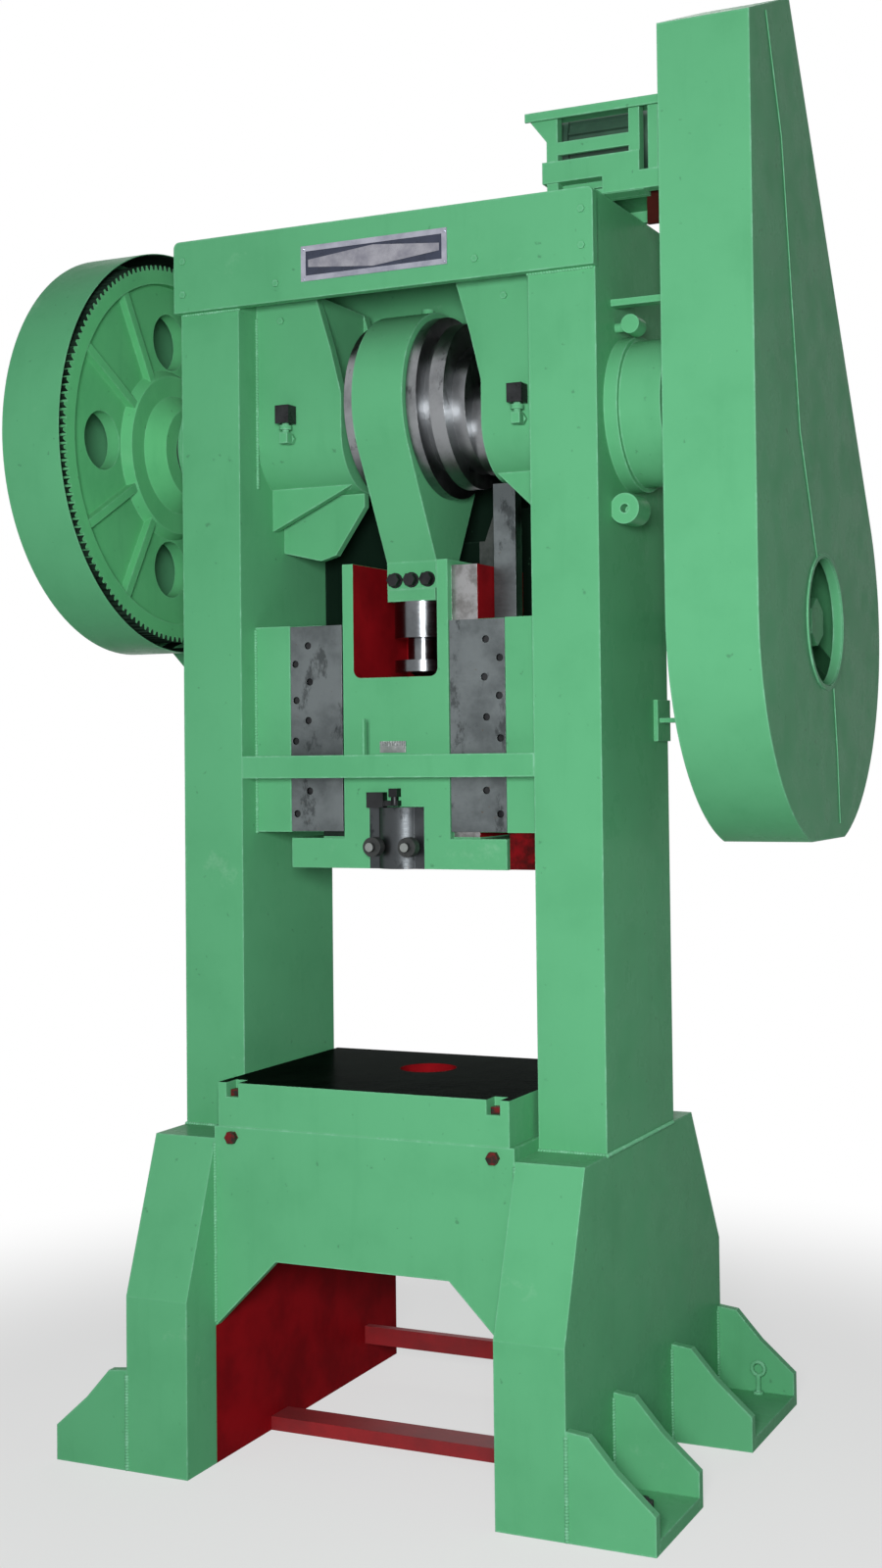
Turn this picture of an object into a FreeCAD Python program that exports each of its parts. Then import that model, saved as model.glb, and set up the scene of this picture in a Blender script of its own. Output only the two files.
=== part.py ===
import FreeCAD, Part
import math
import os

# Mechanical stamping press, straight-sided geared type. Millimetres.
# +X to the press's right, +Y to its back, +Z up.
# The origin is on the floor, midway between the four anchor bolts and straight under the crankshaft.

os.makedirs("parts", exist_ok=True)
V = FreeCAD.Vector

# ---------------------------------------------------------------- driving dimensions
PLATE = 20.0                    # thickness of the welded frame plates
SPAN = 500.0                    # half of the width over the columns
COLUMN_W = 150.0                # width of one column
CLEAR = SPAN - COLUMN_W         # half of the gap between the columns
COLUMN_Y = 200.0                # half of the depth of a column
LEG_TOP = 685.0                 # where the column stands on the leg
CROWN_BOTTOM = 2490.0
CROWN_TOP = 2650.0

CRANK_Z = 2212.0                # height of the crankshaft
THROW = 50.0                    # eccentricity, so the stroke is twice this
JOURNAL_R = 70.0
HOUSING_R = 125.0               # outside of the crank bearing barrels
RUNNING = 0.05                  # radial clearance of the running fits

MODULE = 6.0                    # gear tooth module
GEAR_TEETH = 146
PINION_TEETH = 24
CENTRES = MODULE * (GEAR_TEETH + PINION_TEETH) / 2
BACK_Y = 263.0                  # back shaft, one gear centre distance from the crankshaft
BACK_Z = CRANK_Z - math.sqrt(CENTRES ** 2 - BACK_Y ** 2)
BACK_R = 35.0                   # back shaft radius

SLIDE_BOTTOM = 1252.0           # slide at the top of its stroke
SLIDE_TOP = 1915.0
SLIDE_FRONT = -140.0
GUIDE_BOTTOM = 1330.0
GUIDE_TOP = 1785.0

BED_TOP = 712.0                 # top of the bed, under the bolster
BOLSTER_TOP = 805.0
BED_FRONT = -323.0

MOTOR_Z = 2790.0
FLYWHEEL_R = 430.0
PULLEY_R = 85.0
GUARD_X0 = 650.0                # belt guard, inner and outer faces
GUARD_X1 = 843.0
SHEET = 3.0                     # sheet thickness of the guards


# ---------------------------------------------------------------- helpers
def box(x0, x1, y0, y1, z0, z1):
    return Part.makeBox(x1 - x0, y1 - y0, z1 - z0, V(x0, y0, z0))


def rod_x(x0, x1, y, z, r):
    return Part.makeCylinder(r, x1 - x0, V(x0, y, z), V(1, 0, 0))


def rod_y(y0, y1, x, z, r):
    return Part.makeCylinder(r, y1 - y0, V(x, y0, z), V(0, 1, 0))


def rod_z(z0, z1, x, y, r):
    return Part.makeCylinder(r, z1 - z0, V(x, y, z0), V(0, 0, 1))


def prism(points, direction):
    wire = Part.makePolygon(points + [points[0]])
    return Part.Face(wire).extrude(direction)


def plate_yz(outline, x0, x1):
    return prism([V(x0, y, z) for y, z in outline], V(x1 - x0, 0, 0))


def plate_xz(outline, y0, y1):
    return prism([V(x, y0, z) for x, z in outline], V(0, y1 - y0, 0))


def plate_xy(outline, z0, z1):
    return prism([V(x, y, z0) for x, y in outline], V(0, 0, z1 - z0))


def join(shapes):
    solid = shapes[0].multiFuse(list(shapes[1:]))
    return solid.removeSplitter()


def group(shapes):
    return Part.makeCompound(shapes)


def mirror_x(shape):
    return shape.mirror(V(0, 0, 0), V(1, 0, 0))


def mirror_y(shape):
    return shape.mirror(V(0, 0, 0), V(0, 1, 0))


def hexagon(size, height, centre, axis):
    """A hexagon prism, measured across its flats, standing on centre along axis."""
    radius = size / math.sqrt(3)
    points = [V(radius * math.cos(math.radians(60 * i)), radius * math.sin(math.radians(60 * i)), 0)
              for i in range(6)]
    solid = prism(points, V(0, 0, height))
    solid.Placement = FreeCAD.Placement(centre, FreeCAD.Rotation(V(0, 0, 1), axis))
    return solid


def loop_yz(y0, z0, r0, y1, z1, r1, x_start, x_end):
    """The outline of a belt round two circles, filled, from x_start to x_end."""
    length = math.hypot(y1 - y0, z1 - z0)
    along = math.atan2(z1 - z0, y1 - y0)
    spread = math.acos((r0 - r1) / length)
    corners = []
    for side in (1, -1):
        angle = along + side * spread
        unit = (math.cos(angle), math.sin(angle))
        corners.append((V(x_start, y0 + r0 * unit[0], z0 + r0 * unit[1]),
                        V(x_start, y1 + r1 * unit[0], z1 + r1 * unit[1])))
    far = V(x_start, y1 + r1 * math.cos(along), z1 + r1 * math.sin(along))
    near = V(x_start, y0 - r0 * math.cos(along), z0 - r0 * math.sin(along))
    edges = [Part.LineSegment(corners[0][0], corners[0][1]).toShape(),
             Part.Arc(corners[0][1], far, corners[1][1]).toShape(),
             Part.LineSegment(corners[1][1], corners[1][0]).toShape(),
             Part.Arc(corners[1][0], near, corners[0][0]).toShape()]
    return Part.Face(Part.Wire(edges)).extrude(V(x_end - x_start, 0, 0))


def save(name, shape):
    shape.exportStep("parts/" + name + ".step")
    print(name, len(shape.Solids), round(shape.Volume / 1e6, 2), shape.isValid())


# ---------------------------------------------------------------- columns and legs
LEG_Y_TOP = 320.0               # half depth of the leg at its top
LEG_FRONT = -435.0              # front and rear faces of the leg at the floor
LEG_REAR = 505.0
LEG_BEND = 364.0                # height where the sloping plates turn vertical
FOOT_REACH = 180.0              # how far the feet stick out past the column
GUSSET_H = 210.0                # height of the foot gussets at the leg
GUSSET_FLAT = 45.0              # length of their almost level top
GUSSET_NOSE = 74.0              # height of their upright nose
KNEE_BACK, KNEE_UP = 78.0, 142.0    # the corner in their sloping edge


def column():
    """The right-hand column: a welded box with a stiffening web inside it."""
    wall = PLATE
    shell = box(CLEAR, SPAN, -COLUMN_Y, COLUMN_Y, LEG_TOP, CROWN_TOP)
    inner = box(CLEAR + wall, SPAN - wall, -COLUMN_Y + wall, COLUMN_Y - wall, LEG_TOP, CROWN_TOP - wall)
    web = box(CLEAR + wall, SPAN - wall, -wall / 2, wall / 2, LEG_TOP, CROWN_TOP - wall)
    body = join([shell.cut(inner), web])
    return body.cut(rod_x(CLEAR - 1, SPAN + 1, 0, CRANK_Z, HOUSING_R))


def bent_plate(low, top, inward):
    """The leg's front or rear plate, upright to the bend and sloping above it. inward is 1 or -1."""
    wall = inward * PLATE
    outline = [(low, 0), (low, LEG_BEND), (top, LEG_TOP),
               (top + wall, LEG_TOP), (low + wall, LEG_BEND), (low + wall, 0)]
    return plate_yz(outline, CLEAR, SPAN)


def leg():
    """The right-hand leg: side plates, bent front and back plates and a shelf for the column."""
    side = [(LEG_FRONT, 0), (LEG_REAR, 0), (LEG_REAR, LEG_BEND), (LEG_Y_TOP, LEG_TOP),
            (-LEG_Y_TOP, LEG_TOP), (LEG_FRONT, LEG_BEND)]
    outer = plate_yz(side, SPAN - PLATE, SPAN)
    inner = plate_yz(side, CLEAR, CLEAR + PLATE)
    front = bent_plate(LEG_FRONT, -LEG_Y_TOP, 1)
    rear = bent_plate(LEG_REAR, LEG_Y_TOP, -1)
    shelf = box(CLEAR, SPAN, -LEG_Y_TOP + 5, LEG_Y_TOP - 5, LEG_TOP - PLATE, LEG_TOP)
    return join([outer, inner, front, rear, shelf])


def foot_gusset(y0):
    """One foot gusset of the right-hand leg: a plate with a sloping edge and a short nose."""
    tip = SPAN + FOOT_REACH
    outline = [(SPAN, 0), (tip, 0), (tip, GUSSET_NOSE), (tip - KNEE_BACK, KNEE_UP),
               (SPAN + GUSSET_FLAT, GUSSET_H - 5), (SPAN, GUSSET_H)]
    return plate_xz(outline, y0, y0 + PLATE)


GUSSET_Y = (LEG_FRONT, -185.0, 165.0, LEG_REAR - PLATE)
PAD = 25.0                      # thickness of the foot pads
ANCHOR_X = SPAN + 105.0
ANCHOR_Y = 300.0
ANCHOR_R = 15.0
FRONT_BAR_Y = -28.0             # rear face of the flat bar on the floor
REAR_BAR_Y, REAR_BAR_Z = 340.0, 70.0


def foot_gussets():
    right = [foot_gusset(y) for y in GUSSET_Y]
    return group(right + [mirror_x(g) for g in right])


def foot_pads():
    pads = []
    for y0, y1 in ((GUSSET_Y[0] + PLATE, GUSSET_Y[1]), (GUSSET_Y[2] + PLATE, GUSSET_Y[3])):
        pad = box(SPAN, SPAN + FOOT_REACH, y0, y1, 0, PAD)
        side = -1 if y0 < 0 else 1
        pads.append(pad.cut(rod_z(-1, PAD + 1, ANCHOR_X, side * ANCHOR_Y, ANCHOR_R)))
    return group(pads + [mirror_x(p) for p in pads])


def floor_bars():
    front = box(-CLEAR, CLEAR, FRONT_BAR_Y - 72, FRONT_BAR_Y, 0, 30)
    rear = box(-CLEAR, CLEAR, REAR_BAR_Y, REAR_BAR_Y + PLATE, REAR_BAR_Z, REAR_BAR_Z + 42)
    return front, rear


# ---------------------------------------------------------------- bed and bolster
ARCH_TOP = 436.0
ARCH_SIDE = 289.0               # height where the arch's slopes meet the legs
ARCH_FLAT = 202.0               # half length of the arch's level top
BED_PLATE = 30.0
HOLE_R = 62.0                   # scrap hole through the bolster
BED_HOLE_R = HOLE_R + 15.0


def bed_front_plate():
    outline = [(-CLEAR, ARCH_SIDE), (-ARCH_FLAT, ARCH_TOP), (ARCH_FLAT, ARCH_TOP), (CLEAR, ARCH_SIDE),
               (CLEAR, BED_TOP), (-CLEAR, BED_TOP)]
    return plate_xz(outline, BED_FRONT, BED_FRONT + PLATE)


def bed_rear_plate():
    return box(-CLEAR, CLEAR, COLUMN_Y - PLATE, COLUMN_Y, ARCH_TOP, BED_TOP)


def bed_top_plate():
    bottom = BED_TOP - BED_PLATE
    plate = box(-CLEAR, CLEAR, BED_FRONT + PLATE, COLUMN_Y - PLATE, bottom, BED_TOP)
    return plate.cut(rod_z(bottom - 1, BED_TOP + 1, 0, 0, BED_HOLE_R))


BOLSTER_X = 340.0
NOTCH_X = 305.0                 # centre of the bolt notches in the bolster's front corners
NOTCH_W, NOTCH_Y, NOTCH_Z = 30.0, 40.0, 30.0
BOLT = 20.0                     # square head of the notch bolts


def bolster_plate():
    plate = box(-BOLSTER_X, BOLSTER_X, BED_FRONT, COLUMN_Y, BED_TOP, BOLSTER_TOP)
    plate = plate.cut(rod_z(BED_TOP - 1, BOLSTER_TOP + 1, 0, 0, HOLE_R))
    for side in (-1, 1):
        x = side * NOTCH_X
        notch = box(x - NOTCH_W / 2, x + NOTCH_W / 2, BED_FRONT - 1, BED_FRONT + NOTCH_Y,
                    BOLSTER_TOP - NOTCH_Z, BOLSTER_TOP + 1)
        plate = plate.cut(notch)
    return plate


def bolster_bolts():
    """Two square-headed bolts in the notches and two hexagon bolts in the bed front below them."""
    bolts = []
    for side in (-1, 1):
        x = side * NOTCH_X
        floor = BOLSTER_TOP - NOTCH_Z
        bolts.append(box(x - BOLT / 2, x + BOLT / 2, BED_FRONT + 10, BED_FRONT + 10 + BOLT, floor, floor + 14))
        bolts.append(hexagon(24, 12, V(x, BED_FRONT - 12, BED_TOP - 22), V(0, 1, 0)))
    return group(bolts)


# ---------------------------------------------------------------- crown
CROWN_FRONT = -COLUMN_Y - 22.0
CROWN_X = SPAN + 5.0
CORNER_R = 14.0                 # rounding of the crown plates' top corners


def crown_plate():
    """The front crown plate, with its top corners rounded."""
    plate = box(-CROWN_X, CROWN_X, CROWN_FRONT, -COLUMN_Y, CROWN_BOTTOM, CROWN_TOP)
    thick = -COLUMN_Y - CROWN_FRONT
    edges = [e for e in plate.Edges if e.Length < thick + 1 and e.BoundBox.ZMin > CROWN_TOP - 1]
    return plate.makeFillet(CORNER_R, edges)


def crown_top_plate():
    return box(-CLEAR, CLEAR, -COLUMN_Y, COLUMN_Y, CROWN_TOP - PLATE, CROWN_TOP)


def crown_bolts():
    """Four heads along the crown's lower edge and two at its upper corners."""
    places = [(x, CROWN_BOTTOM + 40) for x in (-480, -240, 240, 480)]
    places += [(x, CROWN_TOP - 45) for x in (-480, 480)]
    return group([hexagon(14, 5, V(x, CROWN_FRONT - 5, z), V(0, 1, 0)) for x, z in places])


NAME_X = 176.0
NAME_Z0, NAME_Z1 = 2526.0, 2603.0
RIM = 12.0                      # width of the rim round the plate


def nameplate_frame():
    """The raised rim round the blank name plate."""
    outer = box(-NAME_X, NAME_X, CROWN_FRONT - 3, CROWN_FRONT, NAME_Z0, NAME_Z1)
    inner = box(-NAME_X + RIM, NAME_X - RIM, CROWN_FRONT - 4, CROWN_FRONT + 1, NAME_Z0 + RIM, NAME_Z1 - RIM)
    return outer.cut(inner)


def nameplate():
    """A blank plate with a long pointed panel raised on it."""
    back = box(-NAME_X + RIM, NAME_X - RIM, CROWN_FRONT - 1.5, CROWN_FRONT, NAME_Z0 + RIM, NAME_Z1 - RIM)
    middle = (NAME_Z0 + NAME_Z1) / 2
    end = NAME_X - RIM - 6
    tip, belly = 8, 23              # half heights of the panel at its ends and at its middle
    panel = plate_xz([(-end, middle - tip), (0, middle - belly), (end, middle - tip),
                      (end, middle + tip), (0, middle + belly), (-end, middle + tip)],
                     CROWN_FRONT - 2.5, CROWN_FRONT - 1.5)
    return join([back, panel])


# ---------------------------------------------------------------- crank bearings
BUSH_R = JOURNAL_R + 12.0
LEFT_END = -135.0               # inner end of the left barrel
RIGHT_END = 205.0               # inner end of the right barrel
HANGER_FRONT = -HOUSING_R
HANGER_THICK = 25.0
HANGER_TOP = CROWN_BOTTOM + 30
TURN_LOW, TURN_HIGH = 85.0, 185.0   # heights over the crankshaft where the hanger's inner edge turns
RIB_TOP, RIB_TOE = 60.0, 108.0  # depths under the crankshaft of the gusset's top and of its inner toe
RIB_Y = -60.0
FLANGE_R = 165.0                # ring where a barrel leaves its column
FLANGE_END = SPAN + 30.0
NECK_R = 112.0
NECK_END = SPAN + 70.0
COVER_R = 155.0                 # closed cover over the right end of the crankshaft
COVER_END = SPAN + 120.0


def housing(x_end, slope, toe, covered):
    """A bearing barrel through a column with a front hanger plate and a gusset under it.

    x_end is the barrel's inner end on the right-hand side. slope is how much nearer to the column the
    hanger's top is. toe is how far under the crankshaft the gusset meets the column. A covered barrel is
    closed over the shaft's end, the other is open for the shaft.
    """
    barrel = rod_x(x_end, SPAN, 0, CRANK_Z, HOUSING_R)
    hanger = plate_xz([(CLEAR, CRANK_Z), (x_end, CRANK_Z), (x_end, CRANK_Z + TURN_LOW),
                       (x_end + slope * 0.4, CRANK_Z + TURN_HIGH), (x_end + slope, HANGER_TOP),
                       (CLEAR, HANGER_TOP)], HANGER_FRONT, HANGER_FRONT + HANGER_THICK)
    wall = x_end + max(slope, 0)
    top = box(wall, CLEAR, HANGER_FRONT, -HANGER_FRONT, CRANK_Z + 40, HANGER_TOP)
    top = top.cut(box(wall + PLATE, CLEAR + 1, HANGER_FRONT + HANGER_THICK, -HANGER_FRONT - HANGER_THICK,
                      CRANK_Z, HANGER_TOP + 1))
    rib = plate_xz([(CLEAR, CRANK_Z - RIB_TOP), (x_end + 5, CRANK_Z - RIB_TOP), (x_end + 5, CRANK_Z - RIB_TOE),
                    (CLEAR, CRANK_Z - toe)], RIB_Y, RIB_Y + 18)
    flange = rod_x(SPAN, FLANGE_END, 0, CRANK_Z, FLANGE_R)
    if covered:
        neck = rod_x(FLANGE_END, COVER_END, 0, CRANK_Z, COVER_R)
        bore_end = COVER_END - PLATE
    else:
        neck = rod_x(FLANGE_END, NECK_END, 0, CRANK_Z, NECK_R)
        bore_end = NECK_END + 1
    body = join([barrel, hanger, mirror_y(hanger), top, rib, mirror_y(rib), flange, neck])
    return body.cut(rod_x(x_end - 1, bore_end, 0, CRANK_Z, BUSH_R))


def bush(x_end):
    sleeve = rod_x(x_end, NECK_END, 0, CRANK_Z, BUSH_R)
    return sleeve.cut(rod_x(x_end - 1, NECK_END + 1, 0, CRANK_Z, JOURNAL_R + RUNNING))


OIL_X = (-262, 300)             # places of the two oil cups


def oil_cups():
    cups = []
    for x in OIL_X:
        cups.append(box(x - 17, x + 17, HANGER_FRONT - 42, HANGER_FRONT - 8, CRANK_Z + 22, CRANK_Z + 62))
    return group(cups)


def oil_fittings():
    """The elbow under each cup, screwed into the barrel."""
    y = HANGER_FRONT - 25
    z = CRANK_Z - 10
    fittings = []
    for x in OIL_X:
        elbow = box(x - 10, x + 10, y - 10, y + 10, z - 12, z + 12)
        stem = rod_z(z, CRANK_Z + 22, x, y, 8)
        collar = rod_z(CRANK_Z + 8, CRANK_Z + 18, x, y, 14)
        arm = rod_y(y, -HOUSING_R, x, z, 7)
        nut = hexagon(24, 10, V(x, -HOUSING_R - 12, z), V(0, 1, 0))
        fittings.append(join([elbow, stem, collar, arm, nut]))
    return group(fittings)


def housing_bolts():
    """One bolt head in each hanger."""
    return group([hexagon(14, 6, V(x, HANGER_FRONT - 6, CROWN_BOTTOM - 20), V(0, 1, 0)) for x in (-285, 262)])


def side_lug():
    """The short round lug with a hole in its front end, on the right column below the crank bearing."""
    radius = 32.0
    height = CRANK_Z - 212
    lug = rod_y(-125, -55, SPAN + radius - 4, height, radius)
    lug = lug.cut(box(SPAN - 20, SPAN, -200, 0, height - 50, height + 50))
    return lug.cut(rod_y(-126, -95, SPAN + radius - 4, height, 9))


def hanging_braces():
    """A pointed plate under the left barrel, and a plate behind the right one, welded to the columns."""
    end = LEFT_END - 5
    left = plate_xz([(-CLEAR, CRANK_Z - 90), (end, CRANK_Z - 115), (end, CRANK_Z - 154), (-215, CRANK_Z - 261),
                     (-254, CRANK_Z - 272), (-CLEAR, CRANK_Z - 250)], -PLATE / 2, PLATE / 2)
    left = left.cut(rod_x(-CLEAR, 0, 0, CRANK_Z, HOUSING_R))
    right = plate_xz([(CLEAR, CRANK_Z - 130), (262, CRANK_Z - 130), (CLEAR, CRANK_Z - 300)], 150, 150 + PLATE)
    return group([left, right])


# ---------------------------------------------------------------- slide guides
WING_X = 190.0                  # half width over the slide's guided wings
WING_TOP_LEFT = 1780.0
WING_TOP_RIGHT = 1903.0
PAD_X = 128.0                   # half width of the slide's front pad
GIB_X0, GIB_X1 = 131.0, 260.0
WING_Y = 121.5                  # half depth of the wings
GIB_BACK = -122.0               # back face of the front gib plates
REAR_TOP = 2000.0
REAR_GIB_X = 168.0              # the rear gib plates are narrower above the brackets
HIGH_X = 250.0                  # inner side of the bracket above the front gib plates
STRIP_TOP = CRANK_Z - HOUSING_R - 4     # top of the guide strip beside the higher wing


def gib_bracket(tall):
    """A right-hand guide bracket, stepped to take a gib plate in front and behind.

    The tall one goes on behind the slide's higher wing and has a foot beside the lower flange.
    """
    proud = -SLIDE_FRONT
    deep = -GIB_BACK
    side = WING_X + 0.4
    low = plate_xy([(CLEAR, -proud), (GIB_X1 + 1, -proud), (GIB_X1 + 1, -deep), (side, -deep), (side, deep),
                    (GIB_X1 + 1, deep), (GIB_X1 + 1, proud), (CLEAR, proud)], GUIDE_BOTTOM, GUIDE_TOP)
    if not tall:
        return low
    high = box(HIGH_X, CLEAR, 60, deep, GUIDE_TOP, REAR_TOP)
    foot = box(264, CLEAR, -proud + 6, proud, SLIDE_BOTTOM + 1, GUIDE_BOTTOM)
    return join([low, high, foot])


GIB_SCREWS = ((216, 1740), (248, 1700), (212, 1660), (246, 1620),
              (216, 1575), (248, 1530), (214, 1420), (246, 1370))


def gib_plates(tall):
    """The front and rear gib plates of one side.

    Behind the higher wing the rear plate is taller, and an upright strip stands beside the wing.
    """
    front = box(GIB_X0, GIB_X1, SLIDE_FRONT, GIB_BACK, GUIDE_BOTTOM + 2, GUIDE_TOP - 2)
    for x, z in GIB_SCREWS:
        front = front.cut(rod_y(SLIDE_FRONT - 1, SLIDE_FRONT + 8, x, z, 8))
    rear = box(GIB_X0, GIB_X1, -GIB_BACK, -SLIDE_FRONT, GUIDE_BOTTOM + 2, GUIDE_TOP - 2)
    if not tall:
        return group([front, rear])
    rear = join([rear, box(GIB_X0, REAR_GIB_X, -GIB_BACK, -SLIDE_FRONT, GUIDE_TOP - 3, REAR_TOP - 2)])
    return group([front, rear, box(WING_X + 2, WING_X + 54, -40, -6, GUIDE_TOP, STRIP_TOP)])


def gib_screws():
    screws = []
    for side in (-1, 1):
        for x, z in GIB_SCREWS:
            screws.append(rod_y(SLIDE_FRONT + 3, SLIDE_FRONT + 8, side * x, z, 6.5))
    return group(screws)


TIE_Z0, TIE_Z1 = 1449.0, 1498.0
SCREEN_Y = 274.0                # front face of the crank screen, behind the sweep of the rod's strap
SCREEN_X = 400.0
SCREEN_Z0 = 1985.0
SCREEN_Z1 = CROWN_BOTTOM - 5


def rear_tie_plate():
    """The plate across the backs of the columns, notched for the crank and rod, and the screen above it."""
    top = CRANK_Z - HOUSING_R / 2
    outline = [(-CLEAR, GUIDE_BOTTOM), (CLEAR, GUIDE_BOTTOM), (CLEAR, top), (180, top), (180, 2055),
               (96, 2055), (70, SCREEN_Z0), (-70, SCREEN_Z0), (-96, 2030), (-96, top), (-CLEAR, top)]
    tie = plate_xz(outline, COLUMN_Y - PLATE, COLUMN_Y)
    screen = box(-SCREEN_X, SCREEN_X, SCREEN_Y, SCREEN_Y + 6, SCREEN_Z0, SCREEN_Z1)
    side = box(SCREEN_X - 12, SCREEN_X, COLUMN_Y, SCREEN_Y, SCREEN_Z0, SCREEN_Z1)
    return group([tie, screen, side, mirror_x(side)])


def front_tie_bar():
    return box(-CLEAR, CLEAR, -COLUMN_Y, -COLUMN_Y + 25, TIE_Z0, TIE_Z1)


def stroke_pointer():
    """The thin upright pointer on the tie bar that reads against the plate on the slide."""
    return box(-50, -45, -COLUMN_Y, -COLUMN_Y + 12, TIE_Z1, 1575)


# ---------------------------------------------------------------- slide
POCKET_X = 102.0
POCKET_FLOOR = 1565.0
WINDOW_Z = 1665.0
CAP_TOP = 1385.0
CAP_X = 66.0                    # half width of the seat that the clamp cap fills
SHANK_R = 25.0
FLANGE_X = 260.0                # half width and height of the slide's lower flange
FLANGE_H = 65.0
POCKET_Y = 118.0
STUD_X = 42.0
STUD_Z = SLIDE_BOTTOM + 48
STUD_R = 10.0


def slide():
    """The slide casting: front and back pads, guided wings, lower flange and the pocket for the rod."""
    front, rear = SLIDE_FRONT, -SLIDE_FRONT
    pad = box(-PAD_X, PAD_X, front, rear, SLIDE_BOTTOM, SLIDE_TOP)
    left_wing = box(-WING_X, 0, -WING_Y, WING_Y, SLIDE_BOTTOM, WING_TOP_LEFT)
    right_wing = box(0, WING_X, -WING_Y, WING_Y, SLIDE_BOTTOM, WING_TOP_RIGHT)
    flange = box(-FLANGE_X, FLANGE_X, front, rear, SLIDE_BOTTOM, SLIDE_BOTTOM + FLANGE_H)
    pocket = box(-POCKET_X, POCKET_X, -POCKET_Y, POCKET_Y, POCKET_FLOOR, SLIDE_TOP + 1)
    window = box(-POCKET_X, POCKET_X, front - 1, -100, WINDOW_Z, SLIDE_TOP + 1)
    low = [e for e in window.Edges if abs(e.BoundBox.ZMax - WINDOW_Z) < 0.01 and e.BoundBox.YLength > 20]
    window = window.makeFillet(18, low)
    notch = box(-POCKET_X, POCKET_X, 100, rear + 1, 1850, SLIDE_TOP + 1)
    seat = box(-CAP_X, CAP_X, front - 1, 0, SLIDE_BOTTOM - 1, CAP_TOP)
    shank = rod_z(SLIDE_BOTTOM - 1, CAP_TOP, 0, 0, SHANK_R)
    body = join([pad, left_wing, right_wing, flange]).cut(join([pocket, window, notch]))
    body = body.cut(seat).cut(shank)
    for x in (-STUD_X, STUD_X):
        body = body.cut(rod_y(-1, 40, x, STUD_Z, STUD_R))
    return body


def shank_clamp_cap():
    """The round-nosed cap that clamps the tool shank into the slide."""
    half = CAP_X - 0.5
    back = SLIDE_FRONT + 45         # where the round nose meets the block
    block = box(-half, half, SLIDE_FRONT, -1, SLIDE_BOTTOM, CAP_TOP - 1)
    nose = rod_z(SLIDE_BOTTOM, CAP_TOP - 1, 0, back, CAP_X - 4)
    nose = nose.common(box(-CAP_X, CAP_X, back - CAP_X, back, SLIDE_BOTTOM, CAP_TOP))
    cap = join([block, nose])
    cap = cap.cut(rod_z(SLIDE_BOTTOM - 1, CAP_TOP, 0, 0, SHANK_R))
    for x in (-STUD_X, STUD_X):
        cap = cap.cut(rod_y(SLIDE_FRONT - 60, 0, x, STUD_Z, STUD_R))
    return cap


def shank_clamp_studs():
    """Two studs with round nuts that hold the cap."""
    studs = []
    for x in (-STUD_X, STUD_X):
        stud = rod_y(SLIDE_FRONT - 50, 40, x, STUD_Z, STUD_R)
        nut = rod_y(SLIDE_FRONT - 38, SLIDE_FRONT - 16, x, STUD_Z, 21)
        studs.append(join([stud, nut]))
    return group(studs)


def clamp_set_screw():
    """The square-headed screw above the cap and the block that it is threaded in."""
    front, back = SLIDE_FRONT - 22, SLIDE_FRONT
    block = box(-62, -22, front, back, CAP_TOP - 1, CAP_TOP + 32)
    link = box(-22, 12, front + 4, back, CAP_TOP + 2, CAP_TOP + 14)
    shank = rod_z(CAP_TOP + 4, CAP_TOP + 22, 2, front + 10, 8)
    head = box(-8, 12, front, front + 20, CAP_TOP + 22, CAP_TOP + 40)
    return join([block, shank, head, link])


def scale_plate():
    return box(-38, 25, SLIDE_FRONT - 2, SLIDE_FRONT, 1502, 1527)


# ---------------------------------------------------------------- crankshaft and connecting rod
PIN_Z = CRANK_Z + THROW         # centre of the eccentric at the top of the stroke
ECCENTRIC_R = 150.0
STRAP_R = 213.0
STRAP_X = 61.0
LINING = 12.0                   # thickness of the bronze ring in the strap
GEAR_BORE_R = 62.0
CRANK_RIGHT_END = SPAN + 90.0
ROD_BOTTOM = 1862.0
ROD_WAIST = 55.0                # half depth of the rod's shank
SHANK_H = 60.0                  # height of the shank's upright part
THREAD_R = 26.0                 # adjusting screw
THREAD_IN = 75.0                # how far the screw goes up into the rod
CLAMP_H = 27.0                  # thickness of the split clamp bar
SCREW_NUT_R = 64.0


def crankshaft():
    """The crankshaft with its eccentric, polished side flanges and stepped right cheek."""
    side = STRAP_X + 2              # half length of the eccentric
    gear_seat = rod_x(-770, -NECK_END, 0, CRANK_Z, GEAR_BORE_R)
    shaft = rod_x(-NECK_END, CRANK_RIGHT_END, 0, CRANK_Z, JOURNAL_R)
    eccentric = rod_x(-side, side, 0, PIN_Z, ECCENTRIC_R)
    left = rod_x(-side - 26, -side, 0, PIN_Z, 196)
    left_neck = rod_x(LEFT_END + 3, -side - 26, 0, CRANK_Z, 95)
    steps = [(24, PIN_Z, 200), (22, PIN_Z, 160), (34, PIN_Z, 182), (30, PIN_Z - 10, 140)]
    parts = [gear_seat, shaft, eccentric, left, left_neck]
    x = side
    for length, height, radius in steps:
        parts.append(rod_x(x, x + length, 0, height, radius))
        x += length
    collar = rod_x(x, RIGHT_END - 3, 0, CRANK_Z, 105)
    return join(parts + [collar])


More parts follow.
